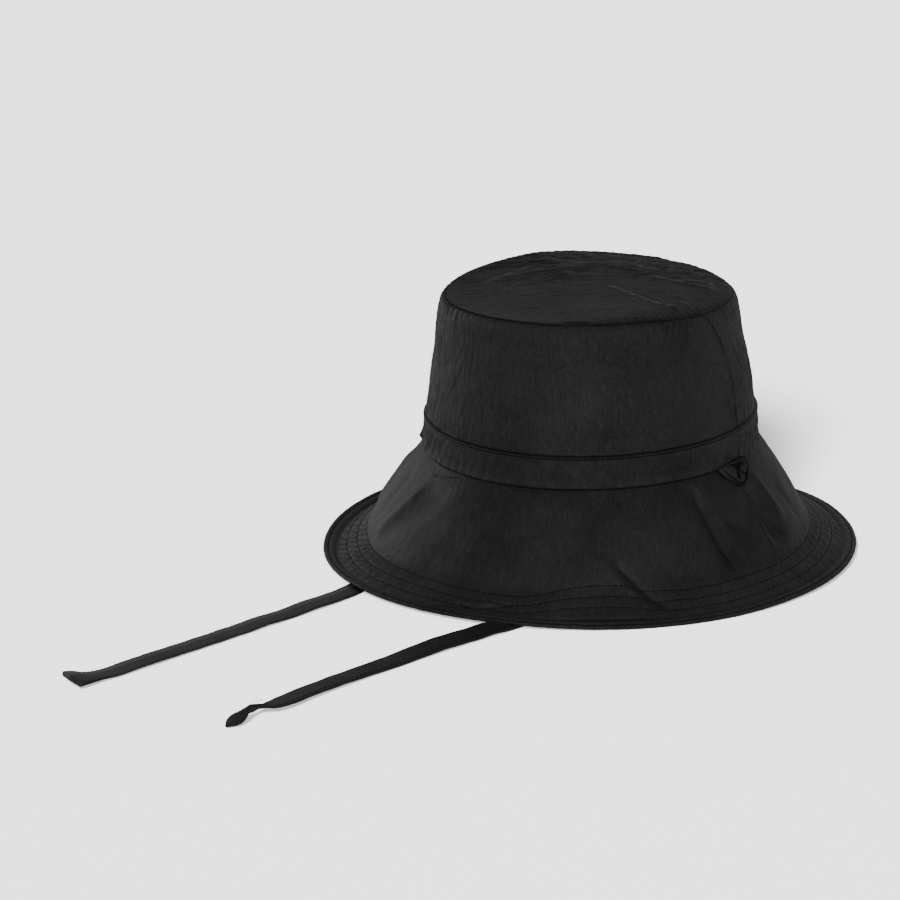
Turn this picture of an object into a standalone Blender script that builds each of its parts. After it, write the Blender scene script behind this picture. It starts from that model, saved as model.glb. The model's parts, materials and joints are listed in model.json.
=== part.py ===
"""Bucket hat with a flared, stitched brim, two side loops and two long self-fabric ties.

Lengths are in millimetres inside this file and are scaled to metres as each mesh is made.
+Z is up, the wearer's front is -Y, the wearer's left is +X, and the hat stands on z = 0.
"""

import math

import bpy
import numpy as np

MM = 0.001

# Plan position of the hat's own centre line in the row frame.
CENTRE_X = 0.0
CENTRE_Y = 106.395

# Every ring is an ellipse whose half length is this much more than its half width.
LENGTHENING = 10.0
SEGMENTS = 48
SEAM_GAP_DEG = 0.12
LAYER_GAP = 0.3

# Head opening and band.
OPENING_HALF_WIDTH = 89.7
OPENING_Z = 61.3
BAND_LOW_Z = 61.7
BAND_TOP_Z = 78.8
BAND_THICKNESS = 0.8

# Crown wall, as heights and outside half widths.
CROWN_Z = (79.1, 92.0, 104.0, 119.0, 133.0, 141.0, 146.4)
CROWN_HALF_WIDTH = (88.7, 87.7, 86.0, 83.4, 81.3, 79.6, 77.4)
CROWN_THICKNESS = 0.8

# Crown tip.
TIP_HALF_WIDTH = 77.6
TIP_RIM_Z = 146.7
TIP_RISE = 4.5
TIP_THICKNESS = 0.7
TIP_FLAT = 0.3
TIP_RINGS = (0.3, 0.55, 0.8, 1.0)

# Lining and sweatband.
LINING_INSET = 1.15
LINING_THICKNESS = 0.45
LINING_TIP_DROP = 1.0
SWEATBAND_INSET = 2.0
SWEATBAND_THICKNESS = 0.8
SWEATBAND_TOP_Z = 92.0

# Brim.
BRIM_UPPER_SLOPE_DEG = 55.0
BRIM_UPPER_LENGTH = 58.0
BRIM_STITCHED_LENGTH = 25.4
BRIM_LAYERS = {"top": (0.0, 0.6), "core": (0.9, 1.4), "under": (1.7, 2.3)}
BRIM_THICKNESS = 2.3
BRIM_UPPER_STEPS = (0.0, 0.33, 0.66)
BRIM_STITCHED_STEPS = (0.0, 0.75, 1.0)

# Height of the brim's lower edge round the hat, by plan angle from +X.
EDGE_ANGLE = (-180.0, -172.0, -149.0, -136.0, -60.0, -50.0, -20.0, 0.0, 40.0, 76.0, 112.0, 150.0, 180.0)
EDGE_HEIGHT = (2.6, 0.0, 0.0, 2.1, 2.1, 0.0, 0.0, 2.6, 2.6, 0.0, 0.0, 2.6, 2.6)

# Side loops.
LOOP_CENTRE_Y = -7.0
LOOP_WIDTH = 26.0
LOOP_LENGTH = 15.5
LOOP_THICKNESS = 1.4
LOOP_STAND_OFF = 0.5
LOOP_ROOT = 1.0
LOOP_CORNER = 9.0
LOOP_SLOT_WIDTH = 8.0
LOOP_SLOT_LENGTH = 6.5
LOOP_SLOT_START = 4.5

# Ties.
TIE_WIDTH = 11.5
TIE_THICKNESS = 1.2
TIE_ROOT_X = 83.8
TIE_ROOT_Z = 68.0
TIE_BEND_RADIUS = 7.0
TIE_LINK_GAP = 0.3
TIE_STEP = 8.0

# Distance along the floor and heading, turned from -Y towards -X, of each tie.
LEFT_PATH = ((0.0, 20.7), (215.0, 18.6), (260.0, 12.0), (330.0, 9.0), (360.0, 2.0), (380.0, 0.0))
RIGHT_PATH = ((0.0, -8.4), (75.0, -8.4), (150.0, 12.4), (250.0, 13.8), (350.0, 15.0))

# Distance along the floor of the ends of each link.
LEFT_LINKS = (171.0, 242.0, 313.0, 384.0)
RIGHT_LINKS = (150.5, 219.0, 287.5, 356.0)

COLOURS = {
    "shell_fabric": (0.018, 0.018, 0.020, 1.0),
    "brim_fabric": (0.020, 0.020, 0.023, 1.0),
    "interlining": (0.30, 0.30, 0.29, 1.0),
    "lining_fabric": (0.012, 0.012, 0.014, 1.0),
    "sweatband_tape": (0.010, 0.010, 0.011, 1.0),
    "tie_fabric": (0.019, 0.019, 0.021, 1.0),
}


def material(slot):
    found = bpy.data.materials.get(slot)
    if found:
        return found
    made = bpy.data.materials.new(slot)
    made.use_nodes = True
    shader = made.node_tree.nodes["Principled BSDF"]
    shader.inputs["Base Color"].default_value = COLOURS[slot]
    shader.inputs["Roughness"].default_value = 0.6
    made.diffuse_color = COLOURS[slot]
    return made


def outward(verts, faces):
    """The faces in the order that points them out of the closed mesh."""
    volume = 0.0
    for face in faces:
        for j in range(1, len(face) - 1):
            a, b, c = verts[face[0]], verts[face[j]], verts[face[j + 1]]
            volume += float(np.dot(a, np.cross(b, c)))
    return faces if volume > 0.0 else [face[::-1] for face in faces]


def solid(name, slot, points, faces, origin=(0.0, 0.0, 0.0)):
    """One closed mesh object whose origin is at the given point, all in millimetres."""
    base = np.array(origin, dtype=float)
    verts = (np.array(points, dtype=float) - base) * MM
    faces = outward(verts, faces)
    mesh = bpy.data.meshes.new(name)
    mesh.from_pydata([tuple(v) for v in verts], [], faces)
    mesh.materials.append(material(slot))
    mesh.update()
    made = bpy.data.objects.new(name, mesh)
    made.location = tuple(base * MM)
    bpy.context.scene.collection.objects.link(made)
    return made


def plan(half_width, angle):
    x = CENTRE_X + half_width * math.cos(angle)
    y = CENTRE_Y + (half_width + LENGTHENING) * math.sin(angle)
    return x, y


def sweep(name, slot, section, start_deg, end_deg, steps):
    """Sweeps a closed section of (half width, height) points round the hat's centre line."""
    whole = abs(end_deg - start_deg) >= 360.0
    count = steps if whole else steps + 1
    points = []
    for i in range(count):
        degrees = start_deg + (end_deg - start_deg) * i / steps
        angle = math.radians(degrees)
        for half_width, z in section(degrees):
            x, y = plan(half_width, angle)
            points.append((x, y, z))
    size = len(points) // count
    faces = []
    for i in range(steps):
        here = i * size
        after = ((i + 1) % count) * size
        for j in range(size):
            k = (j + 1) % size
            # Both skins are split along the same diagonal, so nested layers keep their gap.
            if j < size // 2:
                faces.append((here + j, here + k, after + k))
                faces.append((here + j, after + k, after + j))
            else:
                faces.append((here + j, here + k, after + j))
                faces.append((here + k, after + k, after + j))
    if not whole:
        last = (count - 1) * size
        for j in range(size // 2 - 1):
            k = size - 1 - j
            faces.append((k, k - 1, j + 1, j))
            faces.append((last + j, last + j + 1, last + k - 1, last + k))
    return solid(name, slot, points, faces)


def halves(names, slot, section):
    """The same swept shell cut at the two side seams into a front and a back piece."""
    gap = SEAM_GAP_DEG
    steps = SEGMENTS // 2
    sweep(names[0], slot, section, -180.0 + gap, -gap, steps)
    sweep(names[1], slot, section, gap, 180.0 - gap, steps)


def wall_section(heights, widths, inset, thickness):
    """A shell section that follows a wall, going up its outside and down its inside."""
    outside = [(w - inset, z) for w, z in zip(widths, heights)]
    inside = [(w - inset - thickness, z) for w, z in zip(widths, heights)]
    return outside[::-1] + inside


def constant(section):
    def at(degrees):
        return section
    return at


def edge_height(degrees):
    turned = (degrees + 180.0) % 360.0 - 180.0
    for i in range(len(EDGE_ANGLE) - 1):
        low = EDGE_ANGLE[i]
        high = EDGE_ANGLE[i + 1]
        if low <= turned <= high:
            part = (turned - low) / (high - low)
            part = part * part * (3.0 - 2.0 * part)
            return EDGE_HEIGHT[i] + (EDGE_HEIGHT[i + 1] - EDGE_HEIGHT[i]) * part
    return EDGE_HEIGHT[-1]


def brim_curve(degrees):
    """Points down the brim's top face with their outward normals, and the stitched slope."""
    upper = math.radians(BRIM_UPPER_SLOPE_DEG)
    break_z = OPENING_Z - BRIM_UPPER_LENGTH * math.sin(upper)
    break_w = OPENING_HALF_WIDTH + BRIM_UPPER_LENGTH * math.cos(upper)
    lower = math.radians(30.0)
    for _ in range(40):
        end_z = edge_height(degrees) + BRIM_THICKNESS * math.cos(lower)
        lower = math.asin((break_z - end_z) / BRIM_STITCHED_LENGTH)
    rows = []
    for part in BRIM_UPPER_STEPS:
        run = part * BRIM_UPPER_LENGTH
        point = (OPENING_HALF_WIDTH + run * math.cos(upper), OPENING_Z - run * math.sin(upper))
        rows.append((point, (math.sin(upper), math.cos(upper))))
    for part in BRIM_STITCHED_STEPS:
        run = part * BRIM_STITCHED_LENGTH
        slope = (upper + lower) / 2.0 if part == 0.0 else lower
        point = (break_w + run * math.cos(lower), break_z - run * math.sin(lower))
        rows.append((point, (math.sin(slope), math.cos(slope))))
    return rows, lower


def brim_section(layer):
    near, far = BRIM_LAYERS[layer]

    def at(degrees):
        rows, lower = brim_curve(degrees)
        if layer == "core":
            # The interlining stops at the outermost stitch row but one.
            rows = rows[:-1]
        outside = [(p[0] - n[0] * near, p[1] - n[1] * near) for p, n in rows]
        inside = [(p[0] - n[0] * far, p[1] - n[1] * far) for p, n in rows]
        if layer == "under":
            # The lower edge is cut level so the hat stands flat where the edge reaches the floor.
            low = inside[-1][1]
            run = (outside[-1][1] - low) / math.tan(lower)
            outside[-1] = (outside[-1][0] + run, low)
        return outside[::-1] + inside
    return at


def tip_height(part, dome):
    if part <= TIP_FLAT:
        return dome
    fall = (part - TIP_FLAT) / (1.0 - TIP_FLAT)
    return dome * (1.0 - fall * fall)


def disc(name, slot, half_width, rim_z, thickness):
    """A low domed oval panel with a level centre."""
    layers = []
    for level in (rim_z + thickness, rim_z):
        rings = []
        for part in TIP_RINGS:
            ring = []
            for i in range(SEGMENTS):
                angle = 2.0 * math.pi * i / SEGMENTS
                x = CENTRE_X + half_width * part * math.cos(angle)
                y = CENTRE_Y + (half_width + LENGTHENING) * part * math.sin(angle)
                ring.append((x, y, level + tip_height(part, TIP_RISE)))
            rings.append(ring)
        layers.append(rings)
    points = []
    for rings in layers:
        points.append((CENTRE_X, CENTRE_Y, rings[0][0][2]))
        for ring in rings:
            points.extend(ring)
    rings = len(TIP_RINGS)
    stride = 1 + rings * SEGMENTS
    faces = []
    for side, base in ((0, 0), (1, stride)):
        for i in range(SEGMENTS):
            k = (i + 1) % SEGMENTS
            fan = (base, base + 1 + i, base + 1 + k)
            faces.append(fan if side == 0 else fan[::-1])
            for r in range(rings - 1):
                a = base + 1 + r * SEGMENTS
                b = a + SEGMENTS
                quad = (a + i, b + i, b + k, a + k)
                faces.append(quad if side == 0 else quad[::-1])
    top = 1 + (rings - 1) * SEGMENTS
    for i in range(SEGMENTS):
        k = (i + 1) % SEGMENTS
        faces.append((top + i, stride + top + i, stride + top + k, top + k))
    return solid(name, slot, points, faces)


def loop_tab(name, side):
    """A flat U-shaped loop lying on the brim at a side seam, on side +1 or -1 of the hat."""
    slope = math.radians(BRIM_UPPER_SLOPE_DEG)
    down = np.array((math.cos(slope), 0.0, -math.sin(slope)))
    out = np.array((math.sin(slope), 0.0, math.cos(slope)))
    across = np.array((0.0, 1.0, 0.0))
    start = np.array((OPENING_HALF_WIDTH, LOOP_CENTRE_Y, OPENING_Z))
    half = LOOP_WIDTH / 2.0
    end = LOOP_ROOT + LOOP_LENGTH
    outer = [(-half, LOOP_ROOT), (-half, LOOP_ROOT + 5.0)]
    for i in range(7):
        turn = math.pi / 2.0 * i / 6.0
        u = -half + LOOP_CORNER - LOOP_CORNER * math.cos(turn)
        outer.append((u, end - LOOP_CORNER + LOOP_CORNER * math.sin(turn)))
    outer += [(-u, v) for u, v in outer[::-1]]
    slot = LOOP_SLOT_WIDTH / 2.0
    slot_end = LOOP_SLOT_START + LOOP_SLOT_LENGTH
    inner = [(-slot, LOOP_SLOT_START), (-slot, LOOP_SLOT_START + 1.0)]
    for i in range(7):
        turn = math.pi / 2.0 * i / 6.0
        inner.append((-slot * math.cos(turn), slot_end - 3.0 + 3.0 * math.sin(turn)))
    inner += [(-u, v) for u, v in inner[::-1]]
    count = len(outer)
    points = []
    for outline in (outer, inner):
        for height in (LOOP_STAND_OFF, LOOP_STAND_OFF + LOOP_THICKNESS):
            for u, v in outline:
                p = start + across * u + down * v + out * height
                points.append((CENTRE_X + side * p[0], CENTRE_Y + p[1], p[2]))
    faces = []
    for i in range(count):
        k = (i + 1) % count
        low_out, high_out = i, count + i
        low_in, high_in = 2 * count + i, 3 * count + i
        low_out2, high_out2 = k, count + k
        low_in2, high_in2 = 2 * count + k, 3 * count + k
        quads = (
            (low_out, low_out2, high_out2, high_out),
            (high_out, high_out2, high_in2, high_in),
            (high_in, high_in2, low_in2, low_in),
            (low_in, low_in2, low_out2, low_out),
        )
        faces.extend(quads)
    hinge = start + down * 0.5 + out * LOOP_STAND_OFF
    origin = (CENTRE_X + side * hinge[0], CENTRE_Y + hinge[1], hinge[2])
    return solid(name, "brim_fabric", points, faces, origin)


def heading(path, distance):
    for (d0, h0), (d1, h1) in zip(path, path[1:]):
        if distance <= d1:
            return math.radians(h0 + (h1 - h0) * (distance - d0) / (d1 - d0))
    return math.radians(path[-1][1])


def floor_point(path, root_x, distance):
    """Plan position and heading after walking a distance along the floor from the root."""
    x = CENTRE_X + root_x
    y = CENTRE_Y
    steps = 400
    for i in range(steps):
        turn = heading(path, distance * (i + 0.5) / steps)
        x -= math.sin(turn) * distance / steps
        y -= math.cos(turn) * distance / steps
    return x, y, heading(path, distance)


def ribbon(name, stations, origin):
    """A flat closed strip through stations of (centre, width direction, face direction)."""
    points = []
    for centre, wide, face in stations:
        w = np.array(wide) * TIE_WIDTH / 2.0
        f = np.array(face) * TIE_THICKNESS / 2.0
        c = np.array(centre)
        points.extend([c - w - f, c + w - f, c + w + f, c - w + f])
    faces = []
    for i in range(len(stations) - 1):
        a = 4 * i
        for j in range(4):
            k = (j + 1) % 4
            faces.append((a + j, a + k, a + 4 + k, a + 4 + j))
    faces.append((3, 2, 1, 0))
    last = 4 * (len(stations) - 1)
    faces.append((last, last + 1, last + 2, last + 3))
    return solid(name, "tie_fabric", points, faces, origin)


def floor_stations(path, root_x, begin, end):
    count = max(2, int(round((end - begin) / TIE_STEP)) + 1)
    rows = []
    for i in range(count):
        distance = begin + (end - begin) * i / (count - 1)
        x, y, turn = floor_point(path, root_x, distance)
        wide = (math.cos(turn), -math.sin(turn), 0.0)
        rows.append(((x, y, TIE_THICKNESS / 2.0), wide, (0.0, 0.0, 1.0)))
    return rows


def hanging_stations(path, root_x):
    """The sewn end hanging from the seam, turning a quarter turn, then bending to the floor."""
    final = heading(path, 0.0)
    rows = []
    bottom = TIE_BEND_RADIUS + TIE_THICKNESS / 2.0
    side = 1.0 if root_x > 0 else -1.0
    begin = -side * math.pi / 2.0
    for i in range(9):
        part = i / 8.0
        z = TIE_ROOT_Z + (bottom - TIE_ROOT_Z) * part
        turned = 0.0 if z > OPENING_Z - 6.0 else (OPENING_Z - 6.0 - z) / (OPENING_Z - 6.0 - bottom)
        turned = turned * turned * (3.0 - 2.0 * turned)
        turn = begin + (final - begin) * turned
        wide = (math.cos(turn), -math.sin(turn), 0.0)
        face = (math.sin(turn), math.cos(turn), 0.0)
        x = CENTRE_X + root_x
        rows.append(((x, CENTRE_Y, z), wide, tuple(-f for f in face)))
    forward = np.array((-math.sin(final), -math.cos(final), 0.0))
    wide = (math.cos(final), -math.sin(final), 0.0)
    for i in range(1, 5):
        turn = math.pi / 2.0 * i / 4.0
        reach = TIE_BEND_RADIUS * (1.0 - math.cos(turn))
        z = bottom - TIE_BEND_RADIUS * math.sin(turn)
        centre = np.array((CENTRE_X + root_x, CENTRE_Y, z)) + forward * reach
        face = forward * math.cos(turn) + np.array((0.0, 0.0, 1.0)) * math.sin(turn)
        rows.append((tuple(centre), wide, tuple(face)))
    return rows


def tie(prefix, root_x, path, ends):
    half_gap = TIE_LINK_GAP / 2.0
    stations = hanging_stations(path, root_x)
    stations += floor_stations(path, root_x, TIE_BEND_RADIUS + 2.0, ends[0] - half_gap)
    ribbon(prefix + "_1", stations, (CENTRE_X + root_x, CENTRE_Y, TIE_ROOT_Z))
    for i in range(len(ends) - 1):
        last = i == len(ends) - 2
        end = ends[i + 1] if last else ends[i + 1] - half_gap
        x, y, _ = floor_point(path, root_x, ends[i])
        rows = floor_stations(path, root_x, ends[i] + half_gap, end)
        ribbon(prefix + "_" + str(i + 2), rows, (x, y, TIE_THICKNESS))


def build():
    for old in list(bpy.data.objects):
        bpy.data.objects.remove(old, do_unlink=True)

    crown = wall_section(CROWN_Z, CROWN_HALF_WIDTH, 0.0, CROWN_THICKNESS)
    halves(("crown_front_panel", "crown_back_panel"), "shell_fabric", constant(crown))
    disc("crown_tip", "shell_fabric", TIP_HALF_WIDTH, TIP_RIM_Z, TIP_THICKNESS)

    band_z = (BAND_LOW_Z, BAND_TOP_Z)
    band_w = (OPENING_HALF_WIDTH, OPENING_HALF_WIDTH - 0.5)
    band = wall_section(band_z, band_w, 0.0, BAND_THICKNESS)
    halves(("band_front", "band_back"), "shell_fabric", constant(band))

    halves(("brim_top_front", "brim_top_back"), "brim_fabric", brim_section("top"))
    halves(("brim_interlining_front", "brim_interlining_back"), "interlining", brim_section("core"))
    halves(("brim_under_front", "brim_under_back"), "brim_fabric", brim_section("under"))

    lining_z = (BAND_LOW_Z, BAND_TOP_Z, 104.0, 133.0, 141.0, 145.0)
    lining_w = (OPENING_HALF_WIDTH, OPENING_HALF_WIDTH - 0.9, 84.2, 81.0, 79.6, 77.9)
    lining = wall_section(lining_z, lining_w, LINING_INSET, LINING_THICKNESS)
    halves(("lining_front", "lining_back"), "lining_fabric", constant(lining))
    tip_z = TIP_RIM_Z - LINING_TIP_DROP
    disc("lining_tip", "lining_fabric", TIP_HALF_WIDTH - 1.7, tip_z, LINING_THICKNESS)

    sweat_z = (BAND_LOW_Z + 0.4, BAND_TOP_Z, SWEATBAND_TOP_Z)
    sweat_w = (OPENING_HALF_WIDTH, OPENING_HALF_WIDTH - 0.9, 85.4)
    sweatband = wall_section(sweat_z, sweat_w, SWEATBAND_INSET, SWEATBAND_THICKNESS)
    sweep("sweatband", "sweatband_tape", constant(sweatband), 0.0, 360.0, SEGMENTS)

    loop_tab("side_loop_left", 1.0)
    loop_tab("side_loop_right", -1.0)

    tie("tie_left", TIE_ROOT_X, LEFT_PATH, LEFT_LINKS)
    tie("tie_right", -TIE_ROOT_X, RIGHT_PATH, RIGHT_LINKS)


build()
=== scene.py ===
"""The looks of the bucket hat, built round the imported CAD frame.

Lengths are millimetres from the hat's own centre line, with +Z up and the wearer's front
at -Y, and become metres in the row frame as each mesh is made. Angles round the hat are
degrees from +X, so the wearer's front is -90.
"""

import json
import math

import bpy
import numpy as np
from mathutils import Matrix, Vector


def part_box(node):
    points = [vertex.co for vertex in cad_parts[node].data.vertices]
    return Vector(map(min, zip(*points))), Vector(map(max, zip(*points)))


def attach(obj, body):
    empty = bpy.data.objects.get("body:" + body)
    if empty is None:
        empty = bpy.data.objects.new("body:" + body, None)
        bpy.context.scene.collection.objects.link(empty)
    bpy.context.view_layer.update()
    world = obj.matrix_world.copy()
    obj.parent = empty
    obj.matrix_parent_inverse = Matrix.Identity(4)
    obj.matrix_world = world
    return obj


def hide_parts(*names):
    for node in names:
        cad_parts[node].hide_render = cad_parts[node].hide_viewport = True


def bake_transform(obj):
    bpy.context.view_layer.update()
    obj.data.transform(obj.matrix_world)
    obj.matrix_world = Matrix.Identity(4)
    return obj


MM = 0.001
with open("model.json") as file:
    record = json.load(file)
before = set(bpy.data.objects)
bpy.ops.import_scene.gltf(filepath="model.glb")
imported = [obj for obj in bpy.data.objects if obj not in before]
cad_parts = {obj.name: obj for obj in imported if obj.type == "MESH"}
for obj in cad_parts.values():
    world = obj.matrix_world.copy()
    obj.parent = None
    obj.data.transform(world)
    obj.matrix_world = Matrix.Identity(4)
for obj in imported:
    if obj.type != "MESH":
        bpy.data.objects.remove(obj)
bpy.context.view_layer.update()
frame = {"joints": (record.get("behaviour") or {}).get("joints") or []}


def node_box(node):
    """The low and high corners of a CAD node, in millimetres."""
    low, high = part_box(node)
    return np.array(low) / MM, np.array(high) / MM


TIP_LOW, TIP_HIGH = node_box("crown_tip")
BAND_LOW, BAND_HIGH = node_box("band_front")
CENTRE = np.array(((TIP_LOW[0] + TIP_HIGH[0]) / 2.0, (TIP_LOW[1] + TIP_HIGH[1]) / 2.0, 0.0))
LONG = ((TIP_HIGH[1] - TIP_LOW[1]) - (TIP_HIGH[0] - TIP_LOW[0])) / 2.0
TIP_HALF = (TIP_HIGH[0] - TIP_LOW[0]) / 2.0
TIP_Z = TIP_LOW[2]
BAND_HALF = (BAND_HIGH[0] - BAND_LOW[0]) / 2.0
BAND_Z = BAND_LOW[2]
BAND_TOP = BAND_HIGH[2]

COLUMNS = 900
VIEW_AZIMUTH = 28.0
VIEW_ELEVATION = 16.6
FACING = -90.0 + VIEW_AZIMUTH


# ---------------------------------------------------------------- numbers

def smooth(x):
    """0 below 0 and 1 above 1, with a smooth rise between."""
    x = np.clip(x, 0.0, 1.0)
    return x * x * (3.0 - 2.0 * x)


def curve(x, xs, ys):
    """A smooth curve through the points (xs, ys)."""
    xs = np.array(xs, float)
    ys = np.array(ys, float)
    slope = np.gradient(ys, xs)
    k = np.clip(np.searchsorted(xs, x, side="right") - 1, 0, len(xs) - 2)
    h = xs[k + 1] - xs[k]
    t = np.clip((x - xs[k]) / h, 0.0, 1.0)
    a = (1.0 + 2.0 * t) * (1.0 - t) ** 2
    b = t * (1.0 - t) ** 2
    c = t * t * (3.0 - 2.0 * t)
    d = t * t * (t - 1.0)
    return a * ys[k] + b * h * slope[k] + c * ys[k + 1] + d * h * slope[k + 1]


def ring_curve(angle, points):
    """A smooth closed curve round the hat through (angle, value) points in degrees."""
    points = sorted(points)
    xs = [p[0] - 360.0 for p in points] + [p[0] for p in points] + [p[0] + 360.0 for p in points]
    ys = [p[1] for p in points] * 3
    return curve(angle, xs, ys)


def turned(angle):
    """Angles brought into -180 to 180."""
    return (angle + 180.0) % 360.0 - 180.0


def bell(x, width, power=2.0):
    """1 where x is 0, fading to nothing either side. A higher power makes it squarer."""
    return np.exp(-(np.abs(x / width) ** power))


def between(at, first, rise, last, fall):
    """1 inside first to last, falling smoothly to 0 at both over the given distances."""
    return smooth((at - first) / rise) * smooth((last - at) / fall)


def spaced(*spans):
    """Rising values over spans of (first, last, count) that share their ends."""
    parts = [np.linspace(*span) for span in spans]
    return np.concatenate(parts[:1] + [part[1:] for part in parts[1:]])


def bump_at(angle, middle, half):
    """1 at the middle angle, falling to 0 half degrees away."""
    return smooth(1.0 - np.abs(turned(angle - middle)) / half)


def bumps(angle, base, *places):
    """A base value with a (height, middle, half width) bump at each place round the hat."""
    return base + sum(height * bump_at(angle, middle, half) for height, middle, half in places)


def noise(u, v, period, seed):
    """Gradient noise of about -1 to 1 that repeats after period cells of u."""
    table = np.random.RandomState(seed).uniform(0.0, 2.0 * math.pi, (period, 256))
    iu = np.floor(u).astype(int)
    iv = np.floor(v).astype(int)
    fu = u - iu
    fv = v - iv
    su = fu * fu * fu * (fu * (fu * 6.0 - 15.0) + 10.0)
    sv = fv * fv * fv * (fv * (fv * 6.0 - 15.0) + 10.0)

    def corner(a, b):
        turn = table[(iu + a) % period, (iv + b) % 256]
        return np.cos(turn) * (fu - a) + np.sin(turn) * (fv - b)

    low = corner(0, 0) + (corner(1, 0) - corner(0, 0)) * su
    high = corner(0, 1) + (corner(1, 1) - corner(0, 1)) * su
    return (low + (high - low) * sv) * 1.5


def field(u, v, length, cell_u, cell_v, seed):
    """Noise over a strip that closes after length, with cells of the given size."""
    period = max(4, int(round(length / cell_u)))
    return noise(u / length * period, v / cell_v, period, seed)


def gathers(phase, length, count):
    """Even waves, count of them in the length of a seam."""
    return np.sin(2.0 * math.pi * phase / (length / count))


def creases(u, v, length, cell_u, cell_v, seed):
    """Sharp-backed creases, mostly along v, about -0.5 to 0.5."""
    warp = field(u, v, length, cell_u * 3.0, cell_v * 1.3, seed + 1) * cell_u * 0.9
    raw = field(u + warp, v, length, cell_u, cell_v, seed)
    return 0.5 - np.sqrt(raw * raw + 0.006) * 1.6


def joined(*parts):
    """Arrays side by side, as the coordinates of points."""
    return np.stack(np.broadcast_arrays(*parts), -1)


def oval_sheet(half, angle, z):
    """Points of a ring round the head, their outward normals, and the distance round it."""
    x, y = plan(half, angle)
    points = joined(x, y, z)
    return points, outward(points), ring_length(angle, CROWN_LENGTH)


def ring_length(angle, length):
    """Distance round a ring of the given length, from the seam at -180 degrees."""
    return (angle + 180.0) / 360.0 * length


def seam_gap(angle, middle, radius):
    """Sideways distance from a side seam, on a ring of the given radius."""
    return turned(angle - middle) * math.pi / 180.0 * radius


def plan(half, angle):
    """The hat's oval in plan: a circle of radius half, drawn out along Y."""
    turn = np.radians(angle)
    return half * np.cos(turn), (half + LONG) * np.sin(turn)


def unit(vectors):
    return vectors / (np.linalg.norm(vectors, axis=-1, keepdims=True) + 1e-12)


def outward(points):
    """The outward unit normal at each point of a ring's grid."""
    along = np.roll(points, -1, 0) - np.roll(points, 1, 0)
    return unit(np.cross(np.gradient(points, axis=1), along))


def seam_angle(angle, at_seam):
    """Moves the two side seams sideways by at_seam degrees, and the fabric near them with it."""
    pull = bump_at(angle, 0.0, 45.0) + bump_at(angle, 180.0, 45.0)
    return angle + at_seam * pull


# ---------------------------------------------------------------- meshes

def make_mesh(name, verts, quads, uvs, material):
    """A mesh object from points in millimetres, quads, and a UV pair for every corner."""
    points = (np.asarray(verts, float) + CENTRE) * MM
    mesh = bpy.data.meshes.new(name)
    mesh.vertices.add(len(points))
    mesh.vertices.foreach_set("co", points.astype(np.float32).ravel())
    count = len(quads)
    mesh.loops.add(count * 4)
    mesh.loops.foreach_set("vertex_index", np.asarray(quads, np.int32).ravel())
    mesh.polygons.add(count)
    mesh.polygons.foreach_set("loop_start", np.arange(0, count * 4, 4, dtype=np.int32))
    mesh.polygons.foreach_set("use_smooth", np.ones(count, bool))
    layer = mesh.uv_layers.new(name="cloth")
    layer.data.foreach_set("uv", np.asarray(uvs, np.float32).ravel())
    mesh.update(calc_edges=True)
    mesh.validate()
    mesh.materials.append(material)
    made = bpy.data.objects.new(name, mesh)
    bpy.context.scene.collection.objects.link(made)
    return made


def grid_quads(steps, nu, nv, cloth):
    """Quads over a grid of nu columns and nv rows, and their corners' UVs."""
    i, j = [part.ravel() for part in np.mgrid[0:steps, 0 : nv - 1]]
    k = (i + 1) % nu
    after = (i + 1) % len(cloth)
    quads = np.stack((i * nv + j, i * nv + j + 1, k * nv + j + 1, k * nv + j), 1)
    uvs = np.stack((cloth[i, j], cloth[i, j + 1], cloth[after, j + 1], cloth[after, j]), 1)
    return quads, uvs


def shell(name, outer, inner, closed, cloth, material):
    """A closed skin between two grids. cloth is the UV pair of every grid point, in millimetres."""
    nu, nv = outer.shape[:2]
    verts = np.concatenate((outer.reshape(-1, 3), inner.reshape(-1, 3)))
    steps = nu if closed else nu - 1
    wide = widened(cloth) if closed else cloth
    out, corners = grid_quads(steps, nu, nv, wide)
    shift = nu * nv
    quads = [out, out[:, ::-1] + shift]
    uvs = [corners, corners[:, ::-1]]
    e = np.arange(steps)
    f = (e + 1) % nu
    for row, flip in ((0, False), (nv - 1, True)):
        wall = np.stack((e * nv + row, f * nv + row, f * nv + row + shift, e * nv + row + shift), 1)
        quads.append(wall[:, ::-1] if flip else wall)
        uvs.append(np.repeat(wide[e, row][:, None, :], 4, 1))
    if not closed:
        r = np.arange(nv - 1)
        for column, flip in ((0, True), (nu - 1, False)):
            base = column * nv
            wall = np.stack((base + r, base + r + 1, base + r + 1 + shift, base + r + shift), 1)
            quads.append(wall[:, ::-1] if flip else wall)
            uvs.append(np.repeat(cloth[column, r][:, None, :], 4, 1))
    return closed_mesh(name, verts, quads, uvs, material)


def closed_mesh(name, verts, quads, uvs, material):
    """A mesh from lists of quads and of UVs in millimetres, wound so that its faces look out."""
    quads = np.concatenate(quads)
    uvs = np.concatenate(uvs)
    a, b, c = verts[quads[:, 0]], verts[quads[:, 1]], verts[quads[:, 2]]
    if np.einsum("ij,ij->i", a, np.cross(b, c)).sum() < 0.0:
        quads = quads[:, ::-1]
        uvs = uvs[:, ::-1]
    return make_mesh(name, verts, quads, uvs * MM, material)


def dress(piece, node, body="hat"):
    """Binds a piece to its body. It stands for the CAD node, if one is named."""
    if node:
        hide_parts(node)
    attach(piece, body)


def widened(cloth):
    """The UVs of a ring's columns, with one more column to close it."""
    return np.concatenate((cloth, cloth[-1:] + (cloth[1:2] - cloth[0:1])), 0)


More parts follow.
